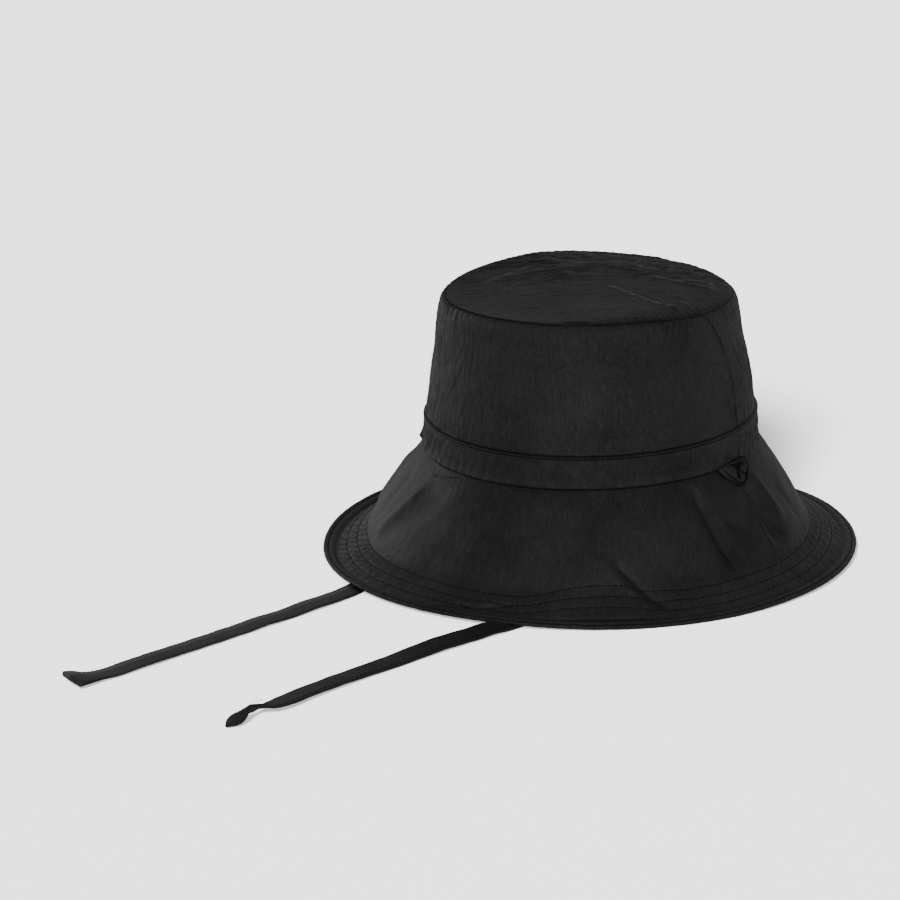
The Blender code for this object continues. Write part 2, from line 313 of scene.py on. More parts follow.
def halves(stem, ending, outer, inner, cloth, material):
    """A ring cut at the two side seams into its front and back pieces, each bound to its node."""
    middle = COLUMNS // 2
    wide = widened(cloth)
    for half, first, last in (("_front", 0, middle), ("_back", middle, COLUMNS)):
        pick = np.arange(first, last + 1)
        at = pick % COLUMNS
        node = stem[0] + half + stem[1]
        name = node + ending
        piece = shell(name, outer[at], inner[at], False, wide[pick], material)
        dress(piece, node)


def run_length(points):
    """Distance from the first point of a line to each of its points."""
    gaps = np.linalg.norm(np.diff(points, axis=0), axis=1)
    return np.concatenate(((0.0,), np.cumsum(gaps)))


def line_at(at, reach, values):
    """Values along a line whose points lie at the distances in reach."""
    return np.stack([np.interp(at, reach, values[:, c]) for c in range(values.shape[1])], 1)


def thread(name, paths, pitch, length, radius):
    """Rows of sewn stitches, each a short rounded strand that dips into the cloth at its ends.

    paths is a list of (points, normals) along the cloth.
    """
    ring = 6
    along = np.array((-0.5, -0.42, -0.2, 0.2, 0.42, 0.5)) * length
    lift = np.array((-0.22, 0.02, 0.12, 0.12, 0.02, -0.22))
    wide = np.array((0.35, 0.85, 1.0, 1.0, 0.85, 0.35)) * radius
    verts = []
    quads = []
    count = 0
    for points, normals in paths:
        reach = run_length(points)
        total = reach[-1]
        number = int(total / pitch)
        if number < 1:
            continue
        middles = (np.arange(number) + 0.5) * total / number
        for k, off in enumerate(along):
            at = np.clip(middles + off, 0.0, total)
            p = line_at(at, reach, points)
            n = line_at(at, reach, normals)
            t = unit(line_at(at + 0.3, reach, points) - line_at(at - 0.3, reach, points))
            side = unit(np.cross(t, n))
            for r in range(ring):
                turn = 2.0 * math.pi * r / ring
                push = side * math.cos(turn) * wide[k] + n * (math.sin(turn) * wide[k] + lift[k])
                verts.append(p + push)
        stations = len(along)
        index = np.arange(number)

        def quad(*corners):
            """Quads of every stitch, through (station, place round it) corners."""
            return np.stack([count + (k * ring + r % ring) * number + index for k, r in corners], 1)

        for k in range(stations - 1):
            for r in range(ring):
                quads.append(quad((k, r), (k, r + 1), (k + 1, r + 1), (k + 1, r)))
        for k, step in ((0, -1), (stations - 1, 1)):
            for places in ((0, 1, 2, 3), (0, 3, 4, 5)):
                quads.append(quad(*[(k, r) for r in places])[:, ::step])
        count += stations * ring * number
    quads = np.concatenate(quads)
    return make_mesh(name, np.concatenate(verts), quads, np.zeros((len(quads), 4, 2)), THREAD)


# ---------------------------------------------------------------- materials

class Nodes:
    """Short calls for building a material's nodes."""

    def __init__(self, name):
        self.material = bpy.data.materials.new(name)
        self.material.use_nodes = True
        self.tree = self.material.node_tree
        self.shader = self.tree.nodes["Principled BSDF"]

    def add(self, kind, **values):
        node = self.tree.nodes.new(kind)
        for key, value in values.items():
            if key in node.inputs:
                node.inputs[key].default_value = value
            else:
                setattr(node, key, value)
        return node

    def link(self, a, b):
        self.tree.links.new(a, b)

    def set(self, **values):
        """Sets the shader's inputs, with _ for each space in their names."""
        for key, value in values.items():
            self.shader.inputs[key.replace("_", " ")].default_value = value

    def mix(self, factor, low, high):
        """The colour low where factor is 0 and high where it is 1."""
        node = self.add("ShaderNodeMix", data_type="RGBA")
        colours = [socket for socket in node.inputs if socket.type == "RGBA"]
        colours[0].default_value = tuple(low) + (1.0,)
        colours[1].default_value = tuple(high) + (1.0,)
        self.link(factor, node.inputs["Factor"])
        return [socket for socket in node.outputs if socket.type == "RGBA"][0]

    def noise(self, coords, scale, detail, roughness):
        node = self.add("ShaderNodeTexNoise", Scale=scale, Detail=detail, Roughness=roughness)
        self.link(coords.outputs["Object"], node.inputs["Vector"])
        return node.outputs[0]

    def bump(self, height, strength, distance, below=None):
        node = self.add("ShaderNodeBump", Strength=strength, Distance=distance)
        self.link(height, node.inputs["Height"])
        if below:
            self.link(below, node.inputs["Normal"])
        return node.outputs[0]

    def scaled(self, a, b, c):
        """a * b + c"""
        return self.maths("MULTIPLY_ADD", a, b, c)

    def maths(self, operation, a, b=None, c=None):
        node = self.add("ShaderNodeMath", operation=operation)
        for slot, value in enumerate((a, b, c)):
            if value is None:
                continue
            if isinstance(value, (int, float)):
                node.inputs[slot].default_value = value
            else:
                self.link(value, node.inputs[slot])
        return node.outputs[0]


def cloth_material(
    name, colour, roughness, sheen, weave, crinkle, crinkle_scale, spread=0.25, gloss=0.0
):
    """Woven nylon: a fine plain weave, crinkles along the cloth's grain, and a soft sheen.

    spread is how much its tone varies. The cloth is painted paler and glossier by its per-vertex
    attribute, as painted highlight.
    """
    n = Nodes(name)
    uv = n.add("ShaderNodeUVMap", uv_map="cloth")
    split = n.add("ShaderNodeSeparateXYZ")
    n.link(uv.outputs[0], split.inputs[0])
    u, v = split.outputs[0], split.outputs[1]
    pitch = 2.0 * math.pi / 0.00042
    warp = n.maths("SINE", n.maths("MULTIPLY", u, pitch))
    weft = n.maths("SINE", n.maths("MULTIPLY", v, pitch))
    plain = n.maths("MULTIPLY", warp, weft)

    stretch = n.add("ShaderNodeMapping")
    stretch.inputs["Scale"].default_value = (crinkle_scale, crinkle_scale * 0.3, 1.0)
    n.link(uv.outputs[0], stretch.inputs[0])
    fine = n.add("ShaderNodeTexNoise", Scale=1.0, Detail=5.0, Roughness=0.6, Distortion=0.6)
    n.link(stretch.outputs[0], fine.inputs["Vector"])
    ridge = n.maths("ABSOLUTE", n.maths("SUBTRACT", fine.outputs[0], 0.5))

    coords = n.add("ShaderNodeTexCoord")
    broad = n.noise(coords, 26.0, 4.0, 0.55)
    speck = n.noise(coords, 420.0, 2.0, 0.5)

    tone = n.scaled(broad, spread * 2.0, 1.0 - spread)
    tone = n.maths("MULTIPLY", tone, n.scaled(speck, 0.5, 0.75))
    tone = n.maths("MULTIPLY", tone, n.scaled(plain, 0.12, 1.0))
    # Painted highlight: a per-vertex attribute makes the cloth paler and glossier.
    painted_light_node = n.add("ShaderNodeAttribute", attribute_name="painted_light")
    tone = n.maths("MULTIPLY", tone, n.scaled(painted_light_node.outputs[2], 14.0, 1.0))
    paint = n.add("ShaderNodeVectorMath", operation="SCALE")
    paint.inputs[0].default_value = colour
    n.link(tone, paint.inputs["Scale"])
    n.link(paint.outputs[0], n.shader.inputs["Base Color"])
    rough = n.scaled(broad, 0.16, roughness - 0.08)
    rough = n.scaled(speck, 0.1, n.maths("SUBTRACT", rough, 0.05))
    n.link(rough, n.shader.inputs["Roughness"])
    mottle = n.noise(coords, 760.0, 3.0, 0.6)
    shine = n.scaled(mottle, 0.5, 0.25)
    shine = n.maths("ADD", shine, n.scaled(fine.outputs[0], 0.5, -0.25))
    shine = n.maths("ADD", shine, n.scaled(broad, 0.6, -0.3))
    shine = n.maths("ADD", shine, n.scaled(painted_light_node.outputs[2], 0.3, gloss))
    n.link(shine, n.shader.inputs["Specular IOR Level"])
    n.set(Sheen_Weight=sheen, Sheen_Roughness=0.45, Sheen_Tint=(0.75, 0.78, 0.85, 1.0))
    woven = n.bump(plain, weave, 0.00006)
    n.link(n.bump(ridge, crinkle, 0.0005, woven), n.shader.inputs["Normal"])
    return n.material


def thread_material():
    n = Nodes("black_thread")
    coords = n.add("ShaderNodeTexCoord")
    twist = n.add("ShaderNodeTexWave", Scale=900.0, Distortion=1.0)
    n.link(coords.outputs["Object"], twist.inputs["Vector"])
    paint = n.mix(twist.outputs["Color"], (0.002, 0.002, 0.0022), (0.006, 0.006, 0.007))
    n.link(paint, n.shader.inputs["Base Color"])
    n.set(Roughness=0.7, Specular_IOR_Level=0.2)
    n.link(n.bump(twist.outputs["Color"], 0.4, 0.0001), n.shader.inputs["Normal"])
    return n.material


NYLON = (0.0085, 0.0085, 0.0088)
SHELL = cloth_material("crown_nylon", NYLON, 0.44, 0.03, 0.5, 1.0, 560.0, 0.32)
# The tip's cloth is a shaded copy of the crown's, with less sheen and a lower specular level so
# that the top reads darker: painted shade.
TIP = cloth_material("tip_nylon", NYLON, 0.44, 0.01, 0.5, 1.0, 560.0, 0.32, -0.17)
BRIM = cloth_material("brim_nylon", NYLON, 0.42, 0.03, 0.5, 0.6, 420.0, 0.3)
TIE = cloth_material("tie_nylon", NYLON, 0.46, 0.03, 0.5, 0.35, 420.0)
LINING = cloth_material("lining_cloth", (0.012, 0.012, 0.014), 0.6, 0.02, 0.5, 0.3, 300.0)
SWEAT = cloth_material("sweatband_tape", (0.010, 0.010, 0.011), 0.7, 0.05, 1.0, 0.2, 900.0)
CORE = cloth_material("interlining_felt", (0.30, 0.30, 0.29), 0.85, 0.1, 0.2, 0.8, 600.0)
THREAD = thread_material()

# ---------------------------------------------------------------- crown

ANGLES = -180.0 + 360.0 * np.arange(COLUMNS) / COLUMNS
# The top seam stands this much higher at the viewer's side, at this distance from the centre.
TOP_TILT = 3.6
TILT_REACH = 84.0
CROWN_LEAN = 1.6
# The side seams' sideways shift in degrees, at shares of the way down the wall.
SEAM_ROWS = (0.0, 0.1, 0.18, 0.27, 0.39, 0.52, 0.65, 0.8, 1.0)
SEAM_SHIFT = (-9.0, -6.5, -4.6, -2.0, 0.1, 1.5, 1.8, 1.6, 1.0)
# How far the wall stands outside the tip, at shares of the way down it.
WALL_ROWS = (0.0, 0.03, 0.09, 0.2, 0.38, 0.6, 0.82, 1.0)
WALL_OUT = (0.0, 1.5, 2.9, 3.9, 4.9, 8.0, 10.2, 11.6)


def seam_height(angle):
    """Height of the top seam: the crown leans a little, higher towards the front."""
    turn = np.radians(turned(angle - FACING))
    sag = 0.5 * noise((angle + 180.0) / 360.0 * 9.0, np.full_like(angle, 0.3), 9, 41)
    side = -1.3 * np.sin(turn) - 0.7 * np.sin(turn) ** 2
    return TIP_Z - 0.6 + TOP_TILT * np.cos(turn) + side + sag + 0.45 * back_rise(angle)


# Extra height of the top seam round the back, by angle.
BACK_RISE = (
    (-160.0, 0.0), (-175.0, 2.8), (165.0, 6.4), (140.0, 9.4), (118.0, 6.6), (95.0, 4.6),
    (75.0, 2.6), (55.0, 0.8), (30.0, 0.0), (-60.0, 0.0), (-120.0, 0.0),
)


def back_rise(angle):
    """The back of the crown stands fuller than the front."""
    return ring_curve(angle, BACK_RISE)


def lean(points):
    """The upper crown leans slightly to the viewer's left."""
    z = points[..., 2:]
    part = 0.45 * smooth((z - 76.0) / 16.0) + 0.55 * smooth((z - 105.0) / 25.0)
    turn = math.radians(VIEW_AZIMUTH)
    return points - part * CROWN_LEAN * np.array((math.cos(turn), math.sin(turn), 0.0))


def seen_axes(x, y):
    """Plan distances towards the viewer and towards the viewer's right."""
    turn = math.radians(FACING)
    near = x * math.cos(turn) + y * math.sin(turn)
    right = -x * math.sin(turn) + y * math.cos(turn)
    return near, right


def grid(rows):
    """Angles and rows of a ring's grid, one column for each of ANGLES."""
    angle, row = np.meshgrid(ANGLES, np.asarray(rows, float), indexing="ij")
    return angle, row


def wall_points(angle, part):
    """The crown's wall before its folds, at shares of the way down it."""
    half = TIP_HALF - 0.4 + curve(part, WALL_ROWS, WALL_OUT)
    x, y = plan(half, seam_angle(angle, curve(part, SEAM_ROWS, SEAM_SHIFT)))
    top = seam_height(angle)
    z = top + (BAND_TOP + 0.3 - top) * part
    return joined(x, y, z)


def side_seam_profile(distance):
    """A felled seam: a low ridge between two sewn grooves, at a distance in millimetres."""
    return 0.3 * bell(distance - 1.3, 0.9) - 0.75 * bell(distance, 0.42)


# Length of the crown's cloth round the hat, and of its wall between the two seams.
CROWN_LENGTH = 578.0
WALL_HEIGHT = 68.0


def crown_fabric(angle, along, height, seed):
    """Fine crinkles of the crown cloth, stronger at the sides than at the front."""
    places = ((0.75, FACING - 78.0, 42.0), (0.5, FACING + 85.0, 50.0), (0.5, 100.0, 90.0))
    strong = bumps(angle, 0.72, *places)
    big = creases(along, height, CROWN_LENGTH, 7.0, 26.0, seed) * 0.42
    small = creases(along, height, CROWN_LENGTH, 3.0, 9.0, seed + 5) * 0.26
    grain = field(along, height, CROWN_LENGTH, 2.0, 3.2, seed + 9) * 0.11
    return (big + small) * strong + grain


def build_wall():
    angle, row = grid(spaced((0.0, 0.08, 14), (0.08, 0.94, 92), (0.94, 1.0, 10)))
    points = lean(wall_points(angle, row))
    normal = outward(points)
    along = ring_length(angle, CROWN_LENGTH)
    height = row * WALL_HEIGHT
    push = crown_fabric(angle, along, height, 11)
    push *= between(height, 0.8, 4.0, WALL_HEIGHT, 2.0)
    # Broad, slow dents of soft cloth.
    dents = 1.1 * field(along, height, CROWN_LENGTH, 70.0, 42.0, 3)
    push += dents * between(height, 0.0, 16.0, WALL_HEIGHT, 14.0)
    push -= 0.9 * bump_at(angle, FACING + 4.0, 24.0) * bell(height - 33.0, 4.5)
    # Gathers that run out of the top seam, slanting where the side seam pulls.
    pull = bump_at(angle, -22.0, 26.0)
    phase = along + pull * height * 0.9 + 2.2 * field(along, height, CROWN_LENGTH, 24.0, 60.0, 5)
    places = ((0.65, FACING - 80.0, 34.0), (0.75, -14.0, 34.0), (0.35, 100.0, 70.0))
    strength = bumps(angle, 0.18, *places)
    reach = bumps(angle, 5.0, (7.0, -14.0, 34.0), (4.0, FACING - 80.0, 34.0))
    gather = gathers(phase, CROWN_LENGTH, 96.0) * strength
    push += gather * np.exp(-height / reach) * smooth(height / 1.6) * 0.75
    # Small wrinkles across the side seams.
    for middle in (0.0, 180.0):
        off = seam_gap(angle, middle, 90.0)
        wander = 1.3 * field(along, height, CROWN_LENGTH, 12.0, 9.0, 17)
        tug = np.sin(2.0 * math.pi * (height + wander) / 5.2)
        push += 0.2 * tug * np.exp(-np.abs(off) / 5.0) * between(height, 0.0, 6.0, WALL_HEIGHT, 6.0)
        push += side_seam_profile(off) * smooth(height / 3.0)
    # Both edges turn in to their seams.
    push -= 1.3 * bell(height, 0.9) + 0.2 * bell(WALL_HEIGHT - height, 0.4)
    outer = points + normal * push[..., None]
    inner = points - normal * 0.9 + normal * (push * 0.4)[..., None]
    cloth = joined(along, height)
    halves(("crown", "_panel"), "_cloth", outer, inner, cloth, SHELL)
    faced = outward(outer)
    rows = [(outer[seam, 6:-8], faced[seam, 6:-8]) for seam in (COLUMNS // 2, 0)]
    dress(thread("crown_seam_stitches", rows, 2.6, 2.1, 0.2), None)
    # The top seam's thread shows as short bars across the join.
    rim = outer[:, 1] + faced[:, 1] * 0.25
    up = unit(faced[:, 1] + np.array((0.0, 0.0, 1.0)))
    bars = thread("top_seam_stitches", [(close(rim), close(up))], 1.55, 0.95, 0.3)
    dress(bars, None)


def close(path):
    """A path round a ring, with its first point again at its end."""
    return np.concatenate((path, path[:1]))


# The tip's radius, and the size of the sheet of noise that its cloth is cut from.
TIP_RADIUS = 82.0
SHEET = 600.0


def build_tip():
    angle, part = grid(spaced((0.012, 0.9, 84), (0.9, 1.0, 22)))
    warped = seam_angle(angle, -9.0)
    x, y = plan(TIP_HALF - 0.2, warped)
    x = x * part
    y = y * part
    rim = seam_height(angle)
    level = TIP_Z - 0.6
    near, right = seen_axes(x, y)
    tilt = near / TILT_REACH * TOP_TILT
    side = right / 80.0 * 3.0
    rise = 3.2 * (1.0 - part ** 2.4) + 0.7 * back_rise(angle) * part ** 1.5 * (1.0 - part ** 9)
    z = (level + tilt + side) * (1.0 - part ** 9) + rim * part ** 9 + rise
    points = lean(joined(x, y, z))
    radius = TIP_RADIUS * (1.0 - part)
    # The cloth's grain runs across the tip.
    grain = math.radians(38.0)
    u = x * math.cos(grain) + y * math.sin(grain) + SHEET / 3.0
    v = -x * math.sin(grain) + y * math.cos(grain) + SHEET / 3.0
    back = smooth((15.0 - near) / 70.0)
    strong = 0.25 + back
    push = creases(v, u, SHEET, 7.0, 30.0, 61) * 0.95 * strong
    push += creases(v, u, SHEET, 3.0, 14.0, 66) * 0.36 * strong
    push += 0.8 * field(u, v, SHEET, 46.0, 46.0, 63)
    push += 0.08 * field(u, v, SHEET, 2.2, 2.2, 64)
    push *= smooth(radius / 5.0)
    # Long soft creases, most of them towards the back of the tip.
    for crease in TIP_CREASES:
        push += line_crease(x, y, *crease)
    # Gathers out of the seam.
    along = ring_length(angle, CROWN_LENGTH)
    places = ((0.5, FACING - 70.0, 40.0), (0.4, -10.0, 40.0), (0.5, 110.0, 60.0))
    strength = bumps(angle, 0.25, *places)
    phase = along + 2.0 * field(along, radius, CROWN_LENGTH, 24.0, 30.0, 68)
    gather = gathers(phase, CROWN_LENGTH, 90.0)
    push += gather * strength * np.exp(-radius / 4.0) * smooth(radius / 1.4) * 0.5
    push -= 3.2 * bump_at(angle, FACING - 3.0, 8.0) * bell(radius - 1.7, 1.9, 3)
    painted_light = np.zeros_like(x)
    # Painted highlights: the creases below are painted pale, and raised a little.
    for points_on, wide, pale in PAINTED_HIGHLIGHT_LINES:
        off, along_line = polyline_gap(x, y, points_on)
        ends = smooth(along_line / 5.0) * smooth((along_line.max() - along_line) / 7.0)
        patchy = 0.6 + 0.9 * field(along_line, np.full_like(off, wide), 400.0, 4.5, 20.0, 72)
        patchy = np.clip(patchy, 0.0, 1.4)
        painted_light += pale * ends * patchy * bell(off, wide)
        push += 0.35 * pale * ends * bell(off, wide * 1.5)
    # Painted glints on the crests of fine creases, most towards the back and the right.
    rightward = smooth((right + 50.0) / 90.0)
    glint = np.clip(creases(v, u, SHEET, 6.0, 30.0, 77) * 2.5, 0.0, 1.0) ** 3
    painted_light += 0.3 * glint * back * (0.35 + 0.65 * rightward) * smooth(radius / 5.0)
    # Painted highlights on the crests of the gathers by the seam.
    backs = np.clip(gather, 0.0, 1.0) ** 2 * strength
    painted_light += 0.2 * backs * np.exp(-radius / 6.0) * smooth(radius / 1.4)
    push -= 1.5 * bell(radius, 0.9)
    outer = points.copy()
    outer[..., 2] += push
    inner = points.copy()
    inner[..., 2] += push * 0.3 - 0.9
    cloth = joined(u, v)
    piece = capped_disc("crown_tip_cloth", outer, inner, cloth, TIP)
    set_wear(piece, np.concatenate((painted_light.ravel(), np.zeros(painted_light.size + 2))))
    dress(piece, "crown_tip")


def set_wear(piece, values):
    """How much painted highlight the cloth has, per vertex: painted paler and glossier."""
    layer = piece.data.attributes.new("painted_light", "FLOAT", "POINT")
    layer.data.foreach_set("value", np.asarray(values, np.float32))


def polyline_gap(x, y, points):
    """Distance in plan to a line of points, and how far along that line the nearest place is."""
    best = np.full(x.shape, 1.0e9)
    along = np.zeros(x.shape)
    run = 0.0
    for (ax, ay), (bx, by) in zip(points[:-1], points[1:]):
        length = math.hypot(bx - ax, by - ay)
        t = np.clip(((x - ax) * (bx - ax) + (y - ay) * (by - ay)) / length ** 2, 0.0, 1.0)
        gap = np.hypot(x - ax - t * (bx - ax), y - ay - t * (by - ay))
        along = np.where(gap < best, run + t * length, along)
        best = np.minimum(best, gap)
        run += length
    return best, along


# Painted highlights along creases of the tip: points along each, half width, and how pale.
PAINTED_HIGHLIGHT_LINES = (
    (((11.0, 0.2), (31.9, -11.2), (45.4, -18.8), (57.9, -23.4), (68.1, -23.3)), 0.9, 1.0),
    (((57.6, -9.2), (72.6, -13.8)), 0.8, 0.7),
    (((-16.2, 57.2), (12.7, 46.5), (29.8, 53.0)), 1.2, 0.7),
    (((19.2, 33.3), (37.8, 25.4), (55.2, 38.7), (64.7, 23.9)), 1.1, 0.7),
    (((-59.5, -16.7), (-55.3, 0.4), (-48.1, 28.8)), 1.2, 0.6),
    (((-51.3, 41.1), (-19.7, 40.4)), 1.6, 0.5),
    (((-26.7, 17.4), (-2.7, 19.0)), 1.4, 0.4),
)


def line_crease(x, y, start, end, width, height, fade_in=0.25, fade_out=0.2):
    """A crease along a straight line, fading at its ends. Negative heights are valleys."""
    a = np.array(start, float)
    b = np.array(end, float)
    d = b - a
    length = np.linalg.norm(d)
    t = ((x - a[0]) * d[0] + (y - a[1]) * d[1]) / length ** 2
    off = ((x - a[0]) * d[1] - (y - a[1]) * d[0]) / length
    fade = smooth(t / fade_in) * smooth((1.0 - t) / fade_out)
    return height * fade * bell(off, width, 1.5)


# Creases of the tip: start, end, half width and height.
TIP_CREASES = (
    ((26.0, -4.0), (75.0, -30.0), 1.7, 0.75),
    ((50.0, -1.0), (79.0, -15.0), 1.5, 0.6),
    ((-20.0, 40.0), (52.0, 34.0), 2.4, 1.0),
    ((-46.0, 26.0), (10.0, 52.0), 2.6, 0.9),
    ((-10.0, 62.0), (56.0, 46.0), 2.4, 1.0),
    ((16.0, 26.0), (70.0, 22.0), 2.0, 0.8),
    ((-50.0, 6.0), (-12.0, 36.0), 2.4, 0.7),
    ((-60.0, -8.0), (-40.0, 20.0), 2.2, 0.6),
)


def capped_disc(name, outer, inner, cloth, material):
    """A closed disc of two skins whose middle holes are filled by one small ring of quads."""
    nu, nv = outer.shape[:2]
    out_mid = outer[:, 0].mean(0)
    in_mid = inner[:, 0].mean(0)
    verts = np.concatenate((outer.reshape(-1, 3), inner.reshape(-1, 3), [out_mid, in_mid]))
    shift = nu * nv
    out, uv_out = grid_quads(nu, nu, nv, cloth)
    e = np.arange(nu)
    f = (e + 1) % nu
    last, after = e * nv + nv - 1, f * nv + nv - 1
    rim = np.stack((last, last + shift, after + shift, after), 1)
    uv_rim = np.repeat(cloth[e, nv - 1][:, None, :], 4, 1)
    two = np.arange(0, nu, 2)
    a, b, c = two * nv, ((two + 1) % nu) * nv, ((two + 2) % nu) * nv
    mid = np.full(len(two), 2 * shift)
    fan_out = np.stack((mid, a, b, c), 1)
    fan_in = np.stack((mid + 1, c + shift, b + shift, a + shift), 1)
    uv_fan = np.repeat(cloth[two, 0][:, None, :], 4, 1)
    quads = (out, out[:, ::-1] + shift, rim, fan_out, fan_in)
    uvs = (uv_out, uv_out[:, ::-1], uv_rim, uv_fan, uv_fan)
    return closed_mesh(name, verts, quads, uvs, material)


# ---------------------------------------------------------------- band

BAND_DEPTH = BAND_TOP - BAND_Z + 1.9


def build_band():
    down = spaced((0.0, 3.0, 21), (3.0, 16.6, 26), (16.6, BAND_DEPTH, 12))
    angle, drop = grid(down)
    half = BAND_HALF + 0.1 + 0.5 * drop / BAND_DEPTH
    points, normal, along = oval_sheet(half, angle, BAND_TOP + 0.4 - drop)
    push = crown_fabric(angle, along, drop + 90.0, 23) * 1.1
    push *= between(drop, 2.0, 2.5, BAND_DEPTH, 2.5)
    phase = along + 0.4 * drop + 1.8 * field(along, drop, CROWN_LENGTH, 20.0, 30.0, 27)
    gather = gathers(phase, CROWN_LENGTH, 84.0)
    strength = bumps(angle, 0.1, (0.45, 18.0, 42.0), (0.3, FACING - 78.0, 40.0))
    push += gather * strength * 0.6 * smooth((drop - 3.4) / 3.0)
    # The joining seam: a raised fold between two sewn lines.
    push += 0.5 * bell(drop - 0.8, 0.6, 3)
    push -= 0.3 * bell(drop - 1.65, 0.3)
    push -= bell(drop, 0.28)
    # The lower edge is a soft fold that stands over the brim seam.
    rest = BAND_DEPTH - drop
    push += 0.9 * smooth(1.0 - rest / 6.0) - 2.6 * bell(rest, 0.75)
    for middle in (0.0, 180.0):
        off = seam_gap(angle, middle, 92.0)
        push -= 0.4 * bell(off, 0.6) * smooth(drop - 3.4)
    outer = points + normal * push[..., None]
    # The edge rises a little over each side loop, and has two short slits there.
    for middle, way in ((0.0, 1.0), (180.0, -1.0)):
        off = seam_gap(angle, middle, 97.0) * way
        outer[..., 2] += 1.7 * bell(off + 9.0, 8.0, 3) * smooth((drop - 6.0) / 10.0)
        for start, slope, length in ((-15.6, 1.1, 6.5), (-3.0, 1.4, 3.4)):
            cut = 2.0 * bell(off - start - slope * rest, 0.75) * smooth((length - rest) / 3.0)
            outer = outer - normal * cut[..., None]
    inner = outer - normal
    cloth = joined(along, drop + 70.0)
    halves(("band", ""), "_cloth", outer, inner, cloth, SHELL)
    faced = outward(outer)
    k = int(np.argmin(np.abs(down - 1.65)))
    row = (close(outer[:, k]), close(faced[:, k]))
    dress(thread("band_seam_stitches", [row], 2.6, 2.1, 0.2), None)


# ---------------------------------------------------------------- brim

UPPER_LENGTH = 58.0
ROW_GAP = 6.35
ROWS = [UPPER_LENGTH + ROW_GAP * k for k in range(4)]
BRIM_LENGTH = UPPER_LENGTH + 4.0 * ROW_GAP
EDGE_STITCH = BRIM_LENGTH - 1.9
BRIM_THICK = 2.1
# Length of the brim's outer edge, and its radius halfway down.
BRIM_SPAN = 860.0
BRIM_MIDDLE = 122.0
# Step along the brim's profile.
BRIM_STEP = 0.5


def brim_rows():
    """Distances down the brim of its rows, closer together at each line of stitches."""
    fine = []
    for at in ROWS + [EDGE_STITCH]:
        fine.extend(at + np.array((-1.2, -0.8, -0.5, -0.25, 0.0, 0.25, 0.5, 0.8, 1.2)))
    upper = np.linspace(0.0, UPPER_LENGTH, 62)
    rows = np.concatenate((upper, np.linspace(UPPER_LENGTH, BRIM_LENGTH, 34), fine))
    rows = rows[(rows >= 0.0) & (rows <= BRIM_LENGTH)]
    rows = np.unique(np.round(rows, 2))
    keep = [rows[0]]
    exact = np.round(ROWS + [EDGE_STITCH], 2)
    for value in rows[1:]:
        if value - keep[-1] >= 0.2 or value in exact:
            keep.append(value)
    return np.array(keep)


# Height of the underside of the brim's edge over the floor, by angle.
EDGE_LOW = (
    (-170.0, 1.2), (-150.0, 0.4), (-130.0, 2.0), (-105.0, 2.6), (-80.0, 2.3), (-58.0, 0.5),
    (-30.0, 0.2), (-5.0, 1.6), (25.0, 2.6), (50.0, 2.4), (80.0, 0.3), (110.0, 0.3),
    (140.0, 2.4), (165.0, 2.2),
)
# Slope of the upper brim and turn-up of its lip, in degrees by angle.
UPPER_SLOPE = (
    (-152.0, 57.0), (-120.0, 55.0), (-62.0, 53.5), (0.0, 55.0), (28.0, 57.0), (80.0, 55.0),
    (120.0, 54.0), (165.0, 56.0),
)
LIP = (
    (-170.0, 58.0), (-150.0, 62.0), (-125.0, 44.0), (-100.0, 26.0), (-62.0, 24.0),
    (-20.0, 26.0), (25.0, 24.0), (70.0, 26.0), (120.0, 30.0), (160.0, 48.0),
)


def brim_base(columns_angle, rows):
    """The brim's top face before its folds, as the distance out and the height of each row.

    It is a steep cone, a flatter stitched border and a turned-up lip. The border's slope is
    found by halving, so that the edge ends at its height.
    """
    upper = np.radians(ring_curve(columns_angle, UPPER_SLOPE))
    lip = np.radians(ring_curve(columns_angle, LIP))
    low = ring_curve(columns_angle, EDGE_LOW) + BRIM_THICK
    fine = np.arange(0.0, BRIM_LENGTH + 0.01, BRIM_STEP)
    turn_in = smooth((fine - (UPPER_LENGTH - 5.0)) / 9.0)
    lip_in = smooth((fine - (ROWS[3] - 1.0)) / 2.6)

    def summed(rate):
        steps = (rate[:, 1:] + rate[:, :-1]) / 2.0 * BRIM_STEP
        return np.concatenate((np.zeros((len(rate), 1)), np.cumsum(steps, 1)), 1)

    def profile(lower):
        rounding = math.radians(11.0) * (fine / UPPER_LENGTH - 0.5)
        slope = (upper[:, None] + rounding) * (1.0 - turn_in) + lower[:, None] * turn_in
        slope = slope - lip[:, None] * lip_in
        return summed(np.sin(slope)), summed(np.cos(slope))

    least = np.full(len(upper), 0.0)
    most = np.full(len(upper), 1.2)
    for _ in range(24):
        lower = (least + most) / 2.0
        z, _ = profile(lower)
        deep = OPENING_TOP - z.max(1) < low
        most = np.where(deep, lower, most)
        least = np.where(deep, least, lower)
    z, r = profile((least + most) / 2.0)
    drift = ring_curve(columns_angle, ROW_DRIFT)
    hold = between(rows, 0.0, 40.0, BRIM_LENGTH, 18.0)
    shape_z = np.stack([np.interp(rows + d * hold, fine, line) for d, line in zip(drift, z)])
    shape_r = np.stack([np.interp(rows + d * hold, fine, line) for d, line in zip(drift, r)])
    return shape_r, OPENING_TOP - shape_z


OPENING_TOP = BAND_Z - 0.4

